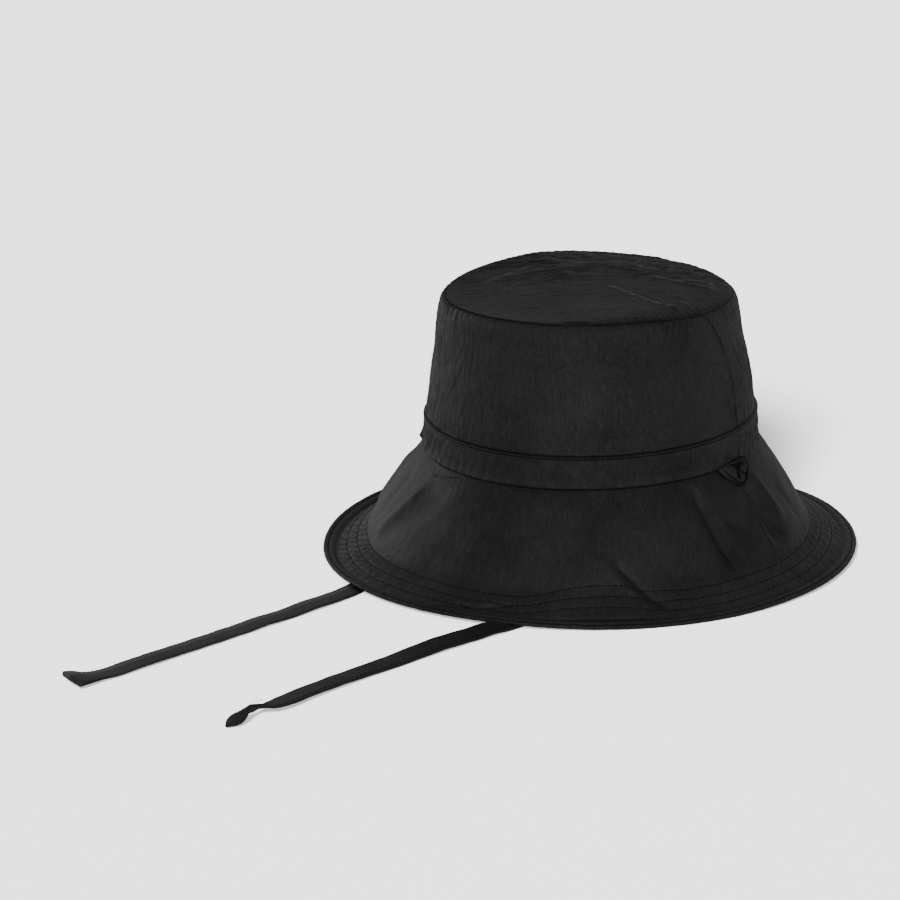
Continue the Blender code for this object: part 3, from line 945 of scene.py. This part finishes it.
# Folds of the brim: angle and distance down the slope of each end, then width and height
# in millimetres. Negative heights are valleys.
BRIM_FOLDS = (
    (-26.5, 2.0, -22.0, 57.0, 5.4, -4.4),
    (-31.5, 6.0, -28.5, 52.0, 6.0, 1.3),
    (-21.0, 25.0, -12.0, 38.0, 4.4, -1.5),
    (-3.6, 4.0, -2.6, 54.0, 5.2, -4.2),
    (2.5, 6.0, 4.5, 44.0, 4.6, 1.6),
    (-56.5, 41.0, -42.0, 74.0, 3.0, -2.1),
    (-61.0, 40.0, -49.5, 66.0, 4.5, 1.2),
    (-47.0, 48.0, -40.0, 70.0, 5.0, 0.5),
    (-121.0, 9.0, -135.0, 57.0, 5.0, 2.3),
    (-137.0, 6.0, -146.0, 52.0, 4.5, -1.6),
    (-152.0, 2.0, -158.0, 54.0, 5.0, 1.8),
    (-126.5, 7.0, -108.0, 1.0, 1.2, -0.7),
    (-124.5, 9.5, -107.0, 3.5, 1.6, 0.3),
    (-95.0, 74.5, -86.5, 69.5, 1.2, -1.4),
    (-87.5, 70.5, -78.5, 63.0, 1.2, -1.2),
    (-93.0, 71.0, -82.0, 63.0, 2.2, 0.8),
    (12.0, 20.0, 16.0, 50.0, 4.0, -1.0),
)


def fold_field(angle, row):
    """How far the brim's folds lift it."""
    push = np.zeros_like(angle)
    per_degree = math.pi / 180.0 * BRIM_MIDDLE
    for a0, s0, a1, s1, width, height in BRIM_FOLDS:
        across = turned(angle - a0) * per_degree
        end = ((a1 - a0) * per_degree, s1)
        push += line_crease(across, row, (0.0, s0), end, width, height, 0.3, 0.25)
    return push


# How far the stitched border wanders up and down the brim, by angle.
ROW_DRIFT = (
    (-175.0, 0.0), (-150.0, -2.0), (-125.0, 1.0), (-105.0, 2.4), (-92.0, 4.2), (-84.0, 5.0),
    (-76.0, 4.0), (-68.0, -1.4), (-54.0, -3.0), (-46.0, 1.0), (-32.0, 2.6), (-22.0, 2.2),
    (2.0, 0.8), (15.0, -1.0), (60.0, 1.0), (110.0, -1.5), (150.0, 1.0),
)


# How far the brim's edge stands out beyond an even oval, by angle.
EDGE_TRIM = (
    (-128.0, 2.2), (-150.0, 0.6), (-175.0, -1.6), (160.0, -2.4), (110.0, -2.0), (60.0, -2.4),
    (40.0, -2.0), (25.0, 0.0), (8.0, 2.4), (-15.0, 3.4), (-38.0, 3.0), (-62.0, 1.8),
    (-100.0, 1.8),
)


def stitched_share(row):
    """0 on each stitch row and 1 midway between rows, and 0 outside the stitched border."""
    share = np.zeros_like(row)
    for low, high in zip(ROWS, ROWS[1:] + [EDGE_STITCH]):
        t = (row - low) / (high - low)
        share += np.where((t > 0.0) & (t < 1.0), np.sin(np.clip(t, 0.0, 1.0) * math.pi), 0.0)
    return share


def brim_surface(rows):
    """The brim's finished top face, its normals, and the distance round the brim."""
    angle, row = grid(rows)
    warped = seam_angle(angle, -7.5)
    shape_r, z = brim_base(ANGLES, rows)
    trim = ring_curve(ANGLES, EDGE_TRIM)[:, None] * smooth((row - 30.0) / 40.0)
    x, y = plan(BAND_HALF + 0.4 + shape_r + trim, warped)
    points = joined(x, y, z)
    normal = outward(points)
    along = ring_length(angle, BRIM_SPAN)
    body = between(row, 0.0, 10.0, UPPER_LENGTH + 4.0, 14.0)
    push = 1.5 * field(along, row, BRIM_SPAN, 64.0, 60.0, 81) * body
    push += 0.5 * field(along + 0.8 * row, row, BRIM_SPAN, 22.0, 34.0, 83) * body
    push += creases(along, row, BRIM_SPAN, 8.0, 26.0, 84) * 0.12 * smooth(row / 4.0)
    push += creases(along + 0.5 * row, row, BRIM_SPAN, 4.0, 11.0, 85) * 0.07 * smooth(row / 4.0)
    push += 0.06 * field(along, row, BRIM_SPAN, 2.4, 2.4, 87)
    push += fold_field(warped, row)
    # Cloth puffs up between the stitch rows and gathers across them.
    share = stitched_share(row)
    push += 0.14 * share
    strong = bumps(angle, 0.14, (0.9, -140.0, 36.0), (0.8, 12.0, 38.0), (0.35, 110.0, 80.0))
    lane = np.floor((row - UPPER_LENGTH) / ROW_GAP)
    phase = along + 0.9 * (row - UPPER_LENGTH) + lane * 1.7
    phase += 3.0 * field(along, row, BRIM_SPAN, 22.0, 40.0, 89)
    gather = gathers(phase, BRIM_SPAN, 104.0)
    push += gather * share * strong * np.where(row < ROWS[3], 0.56, 0.12)
    fade_in = smooth((row - (UPPER_LENGTH - 12.0)) / 12.0) * (row < UPPER_LENGTH)
    push += gather * strong * 0.16 * fade_in
    for at in ROWS[:3]:
        push -= 0.2 * bell(row - at, 0.4)
    push -= 0.5 * bell(row - ROWS[3], 0.6)
    # The turned edge is a soft roll with an edge stitch.
    push += 0.55 * bell(row - (ROWS[3] + 2.4), 2.0, 2.5)
    push -= 0.4 * bell(row - EDGE_STITCH, 0.5)
    for middle in (0.0, 180.0):
        off = seam_gap(angle, middle, 92.0 + 0.6 * row)
        line = 0.3 * bell(off, 0.8) - 0.35 * bell(off + 1.2, 0.5)
        push += line * between(row, 2.0, 4.0, ROWS[3], 3.0)
    push *= smooth((row + 0.4) / 1.6)
    outer = points + normal * push[..., None]
    return outer, outward(outer), along


def build_brim():
    rows = brim_rows()
    outer, faced, along = brim_surface(rows)
    cloth = joined(along, rows)
    # The top layer rolls round the edge and a little way back underneath.
    radius = BRIM_THICK / 2.0
    edge = outer[:, -1]
    out_dir = unit(np.gradient(outer, axis=1)[:, -1])
    up_dir = faced[:, -1]
    wrap_outer = []
    wrap_inner = []
    for turn in np.radians(np.linspace(20.0, 180.0, 9)):
        push = up_dir * math.cos(turn) + out_dir * math.sin(turn)
        middle = edge - up_dir * radius
        wrap_outer.append(middle + push * radius)
        wrap_inner.append(middle + push * (radius - 0.5))
    for back in (0.8, 1.8, 3.0):
        spot = edge - up_dir * BRIM_THICK - out_dir * back
        wrap_outer.append(spot)
        wrap_inner.append(spot + up_dir * 0.5)
    top_outer = np.concatenate((outer, np.stack(wrap_outer, 1)), 1)
    top_inner = np.concatenate((outer - faced * 0.5, np.stack(wrap_inner, 1)), 1)
    extra = BRIM_LENGTH + 0.4 * np.arange(1, len(wrap_outer) + 1)
    tail = joined(along[:, :1], extra)
    whole = np.concatenate((cloth, tail), 1)
    halves(("brim_top", ""), "_cloth", top_outer, top_inner, whole, BRIM)
    pick = np.arange(0, len(rows), 2)
    pick = pick[rows[pick] < BRIM_LENGTH - 3.4]
    core_pick = pick[rows[pick] < ROWS[3] - 1.0]
    for stem, ending, near, far, which, material, slot in (
        ("brim_interlining", "_sheet", 0.7, 1.2, core_pick, CORE, "interlining"),
        ("brim_under", "_cloth", 1.4, BRIM_THICK - 0.1, pick, BRIM, "brim_fabric"),
    ):
        upper = outer[:, which] - faced[:, which] * near
        under = outer[:, which] - faced[:, which] * far
        halves((stem, ""), ending, upper, under, cloth[:, which], material)
    paths = []
    for at in ROWS[:3] + [EDGE_STITCH]:
        k = int(np.argmin(np.abs(rows - at)))
        paths.append((close(outer[:, k]), close(faced[:, k])))
    dress(thread("brim_topstitching", paths, 3.1, 2.5, 0.2), None)


# ---------------------------------------------------------------- inside

LINING_HEIGHT = 80.0


def build_inside():
    low, high = node_box("lining_front")
    angle, part = grid(np.linspace(0.0, 1.0, 40))
    z = high[2] - 1.5 + (low[2] - high[2] + 1.5) * part
    half = curve(z, (60.0, 79.0, 104.0, 133.0, 141.0, 146.0), (86.2, 85.2, 82.9, 79.4, 77.8, 75.6))
    x, y = plan(half, angle)
    points = lean(joined(x, y, z))
    normal = outward(points)
    along = ring_length(angle, CROWN_LENGTH)
    drop = part * LINING_HEIGHT
    push = creases(along, drop, CROWN_LENGTH, 12.0, 34.0, 101) * 0.5
    push = push * between(drop, 0.0, 10.0, LINING_HEIGHT, 20.0) - 0.4
    outer = points + normal * push[..., None]
    inner = outer - normal * 0.4
    cloth = joined(along, drop)
    halves(("lining", ""), "_cloth", outer, inner, cloth, LINING)

    angle, part = grid(np.linspace(0.012, 1.0, 40))
    x, y = plan(TIP_HALF - 2.2, angle)
    x = x * part
    y = y * part
    tilt = seen_axes(x, y)[0] / TILT_REACH * TOP_TILT
    z = TIP_Z - 3.6 + tilt + 2.2 * (1.0 - part ** 2)
    z += 0.4 * field(x + SHEET / 3.0, y + SHEET / 3.0, SHEET, 30.0, 30.0, 104)
    outer = lean(joined(x, y, z))
    inner = outer - np.array((0.0, 0.0, 0.5))
    piece = capped_disc("lining_tip_cloth", outer, inner, joined(x, y), LINING)
    dress(piece, "lining_tip")

    low, high = node_box("sweatband")
    angle, part = grid(np.linspace(0.0, 1.0, 34))
    z = high[2] + (low[2] - high[2]) * part
    half = curve(z, (60.0, 79.0, 93.0), (85.0, 84.0, 82.9))
    points, normal, along = oval_sheet(half, angle, z)
    rib = 0.12 * np.cos(part * 2.0 * math.pi * 9.0) - 0.35 * bell(part - 0.06, 0.02)
    wave = 0.35 * field(along, part * 10.0, CROWN_LENGTH, 26.0, 30.0, 107)
    outer = points + normal * (wave * 0.3)[..., None]
    inner = points - normal * (0.9 + rib - wave * 0.3)[..., None]
    cloth = joined(along, part * 30.0)
    piece = shell("sweatband_tape_ring", outer, inner, True, cloth, SWEAT)
    dress(piece, "sweatband")
    faced = outward(inner)
    path = (close(inner[:, 31]), close(-faced[:, 31]))
    dress(thread("sweatband_stitches", [path], 3.4, 2.6, 0.2), None)


# ---------------------------------------------------------------- side loops

LOOP_DOWN = (-4.5, 0.0, 3.0, 7.0, 9.8, 11.6, 12.9, 13.5)
LOOP_FRONT = (-11.2, -11.8, -11.2, -9.6, -7.9, -6.3, -4.2, -2.6)
LOOP_BACK = (11.6, 12.0, 11.2, 8.4, 5.6, 3.4, 0.6, -1.2)
# Pleats of a side loop: start and end across and down it, half width and depth.
LOOP_PLEATS = (
    ((1.4, 3.0), (-2.9, 8.9), 0.7, 3.4),
    ((1.4, 3.0), (3.6, 9.7), 0.65, 3.2),
    ((-3.4, -0.5), (1.4, 3.0), 0.7, 3.0),
    ((1.4, 3.0), (5.8, 1.8), 0.85, 3.0),
    ((1.0, 2.6), (2.0, 3.4), 1.4, 3.4),
)


def build_loop(side, name, node):
    """A small folded pocket of cloth hanging under the band, with a rolled edge and pleats."""
    low, high = node_box(node)
    centre_y = (low[1] + high[1]) / 2.0 - CENTRE[1] - 4.0
    slope = math.radians(50.0)
    nu, nv = 110, 74
    s, t = np.meshgrid(np.linspace(-1.0, 1.0, nu), np.linspace(0.0, 1.0, nv), indexing="ij")
    v = LOOP_DOWN[0] + (1.0 - (1.0 - t) ** 1.35) * (LOOP_DOWN[-1] - LOOP_DOWN[0])
    front = curve(v, LOOP_DOWN, LOOP_FRONT)
    back = curve(v, LOOP_DOWN, LOOP_BACK)
    u = (front + back) / 2.0 + s * (back - front) / 2.0
    reach = np.minimum(u - front, back - u)
    edge = np.minimum(reach * 0.86, (LOOP_DOWN[-1] - v) * 1.4 + reach * 0.3)
    edge = np.clip(edge, 0.0, None)
    height = 0.9 + 2.7 * smooth(edge / 3.6)
    height += 1.7 * bell(edge - 0.7, 0.6) - 0.7 * bell(edge - 1.8, 0.4)
    height += 0.7 * bell(u + 6.0, 3.0) * bell(v - 5.0, 3.4)
    height += 0.8 * bell(u - 6.4, 2.4) * bell(v - 4.4, 3.2)
    for *line, wide, deep in LOOP_PLEATS:
        off, _ = polyline_gap(u, v, line)
        height -= deep * bell(off, wide, 1.6)
    height += 0.1 * field(u + 40.0, v, 200.0, 2.2, 4.0, 121)
    height = np.maximum(height, 0.3) + 2.4 * smooth((u + 2.0) / 14.0)
    height -= 2.6 * smooth((0.6 - v) / 2.4)
    y = centre_y + u
    half = BAND_HALF + 0.6 + v * math.cos(slope)
    turn = np.arcsin(np.clip(y / (half + LONG), -1.0, 1.0))
    steep = math.sin(slope)
    base = joined(side * half * np.cos(turn), y, OPENING_TOP - 0.5 - v * steep)
    out = joined(side * steep * np.cos(turn), steep * np.sin(turn), math.cos(slope))
    upper = base + out * height[..., None]
    under = base + out * np.clip(height - 1.3, 0.12, None)[..., None]
    cloth = joined(u, v)
    piece = shell(name, upper, under, False, cloth, BRIM)
    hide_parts(node)
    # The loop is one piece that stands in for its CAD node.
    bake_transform(piece)


# ---------------------------------------------------------------- ties

def joint_of(name):
    for joint in frame["joints"]:
        if joint["name"] == name:
            return joint
    raise KeyError(name)


def tie_stations(side):
    """Where a tie hangs from, and points along its middle in plan from there to its tip."""
    prefix = "tie_" + side
    swing = np.array(joint_of(prefix + "_swing")["pos_m"]) / MM - CENTRE
    knots = [np.array((swing[0], swing[1]))]
    for which in ("lift", "curl_1", "curl_2"):
        knots.append((np.array(joint_of(prefix + "_" + which)["pos_m"]) / MM - CENTRE)[:2])
    low, _ = node_box(prefix + "_4")
    knots.append(np.array((low[0] - CENTRE[0] + 5.9, low[1] - CENTRE[1] + 1.0)))
    return swing, knots


def tie_path(knots):
    """A smooth plan curve through the hinge positions, sampled every millimetre."""
    pts = np.array(knots)
    reach = run_length(pts)
    at = np.arange(0.0, reach[-1], 1.0)
    line = np.stack([curve(at, reach, pts[:, c]) for c in range(2)], 1)
    return line, at, reach


TIE_HALF = 6.5
TIE_THICK = 2.0
FLOOR_GAP = 0.05
# Height of a tie's sewn end, where it starts to twist, and the radius of its bend at the floor.
TIE_TOP = 68.0
TIE_TWIST_TOP = 56.0
TIE_BEND = 7.0
# The hanging length is split here, below where it twists with the swing.
HANG_SPLIT = 28


def tie_section(count):
    """A flat tube's outline, as (across, up) points from one side, each -1 to 1."""
    outline = []
    for k in range(count):
        turn = 2.0 * math.pi * k / count
        c, s = math.cos(turn), math.sin(turn)
        outline.append((math.copysign(abs(c) ** 0.28, c), math.copysign(abs(s) ** 0.9, s)))
    return np.array(outline)


def build_tie(side):
    """A tie: it hangs from its sewn end, bends at the floor, and is laid out to its tip."""
    prefix = "tie_" + side
    sign = 1.0 if side == "left" else -1.0
    swing, knots = tie_stations(side)
    line, at, reach = tie_path(knots)
    forward = unit(np.gradient(line, axis=0))
    seed = 131 if side == "left" else 141
    zero = np.zeros_like(at)
    total = at[-1]
    stations = []
    # The hanging length, turning from the seam to the way the tie is laid.
    first = np.array((forward[10, 0], forward[10, 1], 0.0))
    across_first = np.array((-first[1], first[0], 0.0))
    low_z = TIE_BEND + 0.7
    start_turn = math.atan2(-sign, 0.0)
    end_turn = math.atan2(across_first[1], across_first[0])
    change = (end_turn - start_turn + math.pi) % (2.0 * math.pi) - math.pi
    for z in np.linspace(TIE_TOP, low_z, 40):
        part = smooth(np.array((TIE_TWIST_TOP - z) / (TIE_TWIST_TOP - low_z)))
        turn = start_turn + change * float(part)
        wide = np.array((math.cos(turn), math.sin(turn), 0.0))
        stations.append(((swing[0], swing[1], z), wide, np.cross((0.0, 0.0, 1.0), wide)))
    for turn in np.radians(np.linspace(12.0, 78.0, 7)):
        spot = np.array((swing[0], swing[1], low_z)) + first * TIE_BEND * (1.0 - math.cos(turn))
        spot[2] -= TIE_BEND * math.sin(turn)
        up = first * math.cos(turn) + np.array((0.0, 0.0, math.sin(turn)))
        stations.append((spot, across_first, up))
    begin = int(TIE_BEND) + 2
    rest = np.maximum(0.0, total - at)
    width = tie_width(side, rest)
    if side == "left":
        line = line + np.array((2.6, 0.0)) * bell(at - (reach[1] + 75.0), 70.0)[:, None]
        line = line - np.array((5.5, 0.0)) * smooth((42.0 - rest) / 42.0)[:, None]
    waviness = field(at, zero, 1000.0, 46.0, 50.0, seed)
    small = field(at, zero + 3.0, 1000.0, 17.0, 50.0, seed + 1)
    twist = tie_twist(side, at, reach, total)
    lift = np.maximum(0.0, 0.55 + 0.7 * waviness + 0.3 * small)
    lift *= smooth((at - reach[1] + 4.0) / 16.0)
    lift += tie_tip_lift(side, rest)
    for k in range(begin, len(at)):
        ahead = np.array((forward[k, 0], forward[k, 1], 0.0))
        across = np.array((-ahead[1], ahead[0], 0.0))
        c, s = math.cos(twist[k]), math.sin(twist[k])
        wide = across * c + np.array((0.0, 0.0, s))
        up = np.array((0.0, 0.0, c)) - across * s
        z = 0.15 + TIE_THICK / 2.0 + lift[k] + TIE_HALF * width[k] * abs(s)
        stations.append(((line[k, 0], line[k, 1], z), wide, up))
    stations = np.array(stations).transpose(1, 0, 2)
    centres, wides, ups = stations
    length = run_length(centres)
    outline = tie_section(40)
    count = len(outline)
    end_gap = length[-1] - length
    narrow = np.concatenate((np.ones(len(length) - len(at) + begin), width[begin:]))
    if side == "left":
        pinch = 1.0 + 0.9 * bell(end_gap - 12.0, 7.0)
    else:
        pinch = 1.0 + 0.75 * bell(end_gap, 10.0)
    # One edge of the right tie's end has come open.
    near = np.abs(outline[:, 1]) < (0.4 if side == "right" else -1.0)
    near = near & (outline[:, 0] > 0.0)
    open_edge = near[None, :] * between(end_gap, 1.0, 3.0, 24.0, 9.0)[:, None] * 0.7
    flat, high = outline[None, :, 0], outline[None, :, 1]
    lengths = np.repeat(length[:, None], count, 1)
    crease = creases(lengths, flat * 8.0 + 20.0, 2000.0, 5.5, 9.0, seed + 3) * 0.16
    spread = flat * (1.0 - open_edge) * TIE_HALF * narrow[:, None]
    across = centres[:, None, :] + wides[:, None, :] * spread[..., None]
    puff = TIE_THICK / 2.0 * pinch[:, None] * (1.0 - 0.25 * bell(np.abs(flat) - 0.68, 0.1))
    rise = high * puff + crease * np.sign(high) * (np.abs(high) > 0.5)
    tube = across + ups[:, None, :] * rise[..., None]
    tube[..., 2] = np.maximum(tube[..., 2], FLOOR_GAP)
    # The end is closed by rounding its skin over.
    middle = tube[-1].mean(0)
    ahead = unit(middle - tube[-2].mean(0))
    pocket = []
    for back, share in ((-0.5, 0.9), (-0.7, 0.72), (-0.8, 0.5), (-0.85, 0.25)):
        ring = middle + (tube[-1] - middle) * np.array((1.0, 1.0, share)) * (0.5 + share / 2.0)
        pocket.append(ring - ahead * back)
    tube_parts(prefix, tube, np.array(pocket), stations, length, outline, reach)


def tie_twist(side, at, reach, total):
    """Roll of the ribbon about its own length, in radians."""
    if side == "left":
        roll = 0.02 - 0.2 * bell(at - (reach[1] + 30.0), 70.0)
        return roll + 1.0 * bell(at - (total - 19.0), 7.0)
    return -0.02 - 0.25 * bell(at - total, 12.0)


def tie_width(side, rest):
    """Share of the full width along a tie, from the distance to its tip."""
    if side == "left":
        places = (0.0, 3.0, 7.0, 11.0, 15.0, 21.0, 30.0, 44.0)
        return curve(rest, places, (0.1, 0.45, 0.7, 0.68, 0.5, 0.4, 0.7, 1.0))
    return curve(rest, (0.0, 8.0, 18.0, 30.0), (1.12, 1.05, 0.92, 1.0))


def tie_tip_lift(side, rest):
    """How far the last few centimetres stand off the floor."""
    if side == "left":
        return 2.0 * between(rest, 2.0, 14.0, 95.0, 60.0)
    return 1.6 * smooth((34.0 - rest) / 30.0)


def tube_parts(prefix, tube, pocket, stations, length, outline, reach):
    """Cuts the tie where its links are rigid, so that each piece spans one joint."""
    centres, wides, ups = stations
    last = len(centres) - 1
    cuts = [HANG_SPLIT]
    for k in (2, 3):
        middle = (reach[k - 1] + reach[k]) / 2.0
        cuts.append(int(last + 1 - (reach[-1] - middle)))
    bounds = zip([0] + cuts, cuts + [last])
    links = ["hat"] + [prefix + "_" + str(k) for k in (1, 2, 3, 4)]
    hinges = [joint_of(prefix + "_" + which) for which in ("swing", "lift", "curl_1", "curl_2")]
    letters = ("root", "a", "b", "c")
    sewn_edge = (TIE_HALF - 1.7) * (1.0 if prefix == "tie_left" else -1.0)
    for (low, high), a, b, hinge, letter in zip(bounds, links[:-1], links[1:], hinges, letters):
        rings = tube[low : high + 1]
        cloth_u = np.repeat(length[low : high + 1][:, None], len(outline), 1)
        if high == last:
            rings = np.concatenate((rings, pocket))
            cloth_u = np.concatenate((cloth_u, np.repeat(cloth_u[-1:], len(pocket), 0)))
        round_share = np.linspace(0.0, 26.0, len(outline))
        cloth = joined(round_share, cloth_u)
        piece = tube_mesh(prefix + "_" + letter + "_cloth", rings, cloth, TIE)
        # Painted light: the right tie is painted paler all round, with a painted highlight on its
        # upper side near one edge.
        if prefix == "tie_right":
            edge = 0.15 + 0.8 * bell(outline[:, 0] + 0.66, 0.24) * (outline[:, 1] > 0.0)
            set_wear(piece, np.broadcast_to(edge, rings.shape[:2]).ravel())
        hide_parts(b)
        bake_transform(piece)
        span = slice(low, high + 1)
        line = centres[span] + wides[span] * sewn_edge + ups[span] * (TIE_THICK / 2.0 - 0.02)
        name = prefix + "_" + letter + "_stitches"
        stitch = thread(name, [(line, ups[span])], 3.0, 2.1, 0.13)
        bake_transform(stitch)


def tube_mesh(name, rings, cloth, material):
    """A closed tube with quad ends."""
    stations, count = rings.shape[:2]
    verts = rings.reshape(-1, 3)
    i, j = [part.ravel() for part in np.mgrid[0 : stations - 1, 0:count]]
    k = (j + 1) % count
    quads = [np.stack((i * count + j, i * count + k, (i + 1) * count + k, (i + 1) * count + j), 1)]
    uvs = [np.stack((cloth[i, j], cloth[i, k], cloth[i + 1, k], cloth[i + 1, j]), 1)]
    half = count // 2
    for station, flip in ((0, True), (stations - 1, False)):
        base = station * count
        for step in range(half - 1):
            a, b = step, step + 1
            c, d = (count - step - 1) % count, (count - step) % count
            if a == d:
                continue
            cap = base + np.array([[a, b, c, d]])
            quads.append(cap[:, ::-1] if flip else cap)
            uvs.append(cloth[station, [a, b, c, d]][None])
    return closed_mesh(name, verts, quads, uvs, material)


# ---------------------------------------------------------------- stage

FLOOR_REACH = 60.0
AMBIENT = 0.23
FLOOR_GLOW = 0.6
FLOOR_SUN = 22.6
FLOOR_BOUNCE = 0.058
BACKDROP = 2.62
CAMERA_DISTANCE = 3.4
LAMP_DISTANCE = 2.8
LAMP_SIZE = (1.0, 0.8)
# Lamps: name, azimuth from the camera's side of the hat (positive to the right), elevation
# and power.
LAMPS = (
    ("front", 10.0, 30.0, 6.2),
    ("top", 0.0, 85.0, 4.4),
    ("front_low", -20.0, 8.0, 7.5),
    ("right", 70.0, 8.0, 6.6),
    ("left", -110.0, 8.0, 6.2),
    ("back", -140.0, 8.0, 3.2),
    ("hair", 176.0, 50.0, 1.7),
)


def direction(azimuth, elevation):
    """Unit direction from the hat, at degrees round it from the camera's side and up."""
    a = math.radians(VIEW_AZIMUTH + azimuth)
    e = math.radians(elevation)
    return np.array((math.sin(a) * math.cos(e), -math.cos(a) * math.cos(e), math.sin(e)))


def place(name, data, way, location=(0.0, 0.0, 0.0)):
    """An object in the scene that looks back along way."""
    made = bpy.data.objects.new(name, data)
    made.location = tuple(location)
    made.rotation_euler = Vector(tuple(-way)).to_track_quat("-Z", "Y").to_euler()
    bpy.context.scene.collection.objects.link(made)
    return made


def seen(n, camera_colour, other_colour):
    """A colour that only the camera sees, and another for every other ray."""
    path = n.add("ShaderNodeLightPath")
    return n.mix(path.outputs["Is Camera Ray"], other_colour, camera_colour)


def build_stage():
    mesh = bpy.data.meshes.new("floor")
    signs = ((-1, -1), (1, -1), (1, 1), (-1, 1))
    corners = [(x * FLOOR_REACH, y * FLOOR_REACH, 0.0) for x, y in signs]
    mesh.from_pydata(corners, [], [(0, 1, 2, 3)])
    floor = bpy.data.objects.new("floor", mesh)
    bpy.context.scene.collection.objects.link(floor)
    n = Nodes("floor_paper")
    n.link(seen(n, (0.5,) * 3, (FLOOR_BOUNCE,) * 3), n.shader.inputs["Base Color"])
    n.set(Roughness=0.9, Specular_IOR_Level=0.2)
    mesh.materials.append(n.material)

    # The camera sees an even pale backdrop. The hat is lit mostly by the lamps.
    n.link(seen(n, (FLOOR_GLOW,) * 3, (0.0, 0.0, 0.0)), n.shader.inputs["Emission Color"])
    n.set(Emission_Strength=1.0)
    world = bpy.data.worlds.new("studio")
    world.use_nodes = True
    tree = world.node_tree
    path = tree.nodes.new("ShaderNodeLightPath")
    blend = tree.nodes.new("ShaderNodeMix")
    blend.data_type = "FLOAT"
    blend.inputs["A"].default_value = AMBIENT
    blend.inputs["B"].default_value = BACKDROP
    tree.links.new(path.outputs["Is Camera Ray"], blend.inputs["Factor"])
    tree.links.new(blend.outputs["Result"], tree.nodes["Background"].inputs[1])
    tree.nodes["Background"].inputs[0].default_value = (1.0, 1.0, 1.0, 1.0)
    bpy.context.scene.world = world

    target = np.array((CENTRE[0], CENTRE[1], 70.0)) * MM
    for name, azimuth, elevation, power in LAMPS:
        way = direction(azimuth, elevation)
        data = bpy.data.lights.new(name, "AREA")
        data.shape = "RECTANGLE"
        data.size, data.size_y = LAMP_SIZE
        data.energy = power
        place(name, data, way, target + way * LAMP_DISTANCE).visible_camera = False

    # A soft sun that only the floor receives gives the floor its one pale shadow.
    data = bpy.data.lights.new("floor_light", "SUN")
    data.angle = math.radians(13.0)
    data.energy = FLOOR_SUN
    sun = place("floor_light", data, direction(-14.0, 32.0))
    only = bpy.data.collections.new("floor_only")
    only.objects.link(floor)
    sun.light_linking.receiver_collection = only


def build_camera():
    a = math.radians(VIEW_AZIMUTH)
    way = direction(0.0, VIEW_ELEVATION)
    right = np.array((math.cos(a), math.sin(a), 0.0))
    up = np.cross(way, right)
    data = bpy.data.cameras.new("camera")
    data.sensor_width = 36.0
    data.lens = 246.0
    data.clip_start = 0.05
    data.clip_end = 200.0
    # The hat stands a little to the right of and above the middle of the picture.
    middle = np.array((CENTRE[0], CENTRE[1], 75.0)) * MM
    middle = middle - right * 0.0779 - up * 0.0199
    bpy.context.scene.camera = place("camera", data, way, middle + way * CAMERA_DISTANCE)


build_wall()
build_tip()
build_band()
build_brim()
build_inside()
build_loop(1.0, "side_loop_left_cloth", "side_loop_left")
build_loop(-1.0, "side_loop_right_cloth", "side_loop_right")
build_tie("left")
build_tie("right")
build_stage()
build_camera()
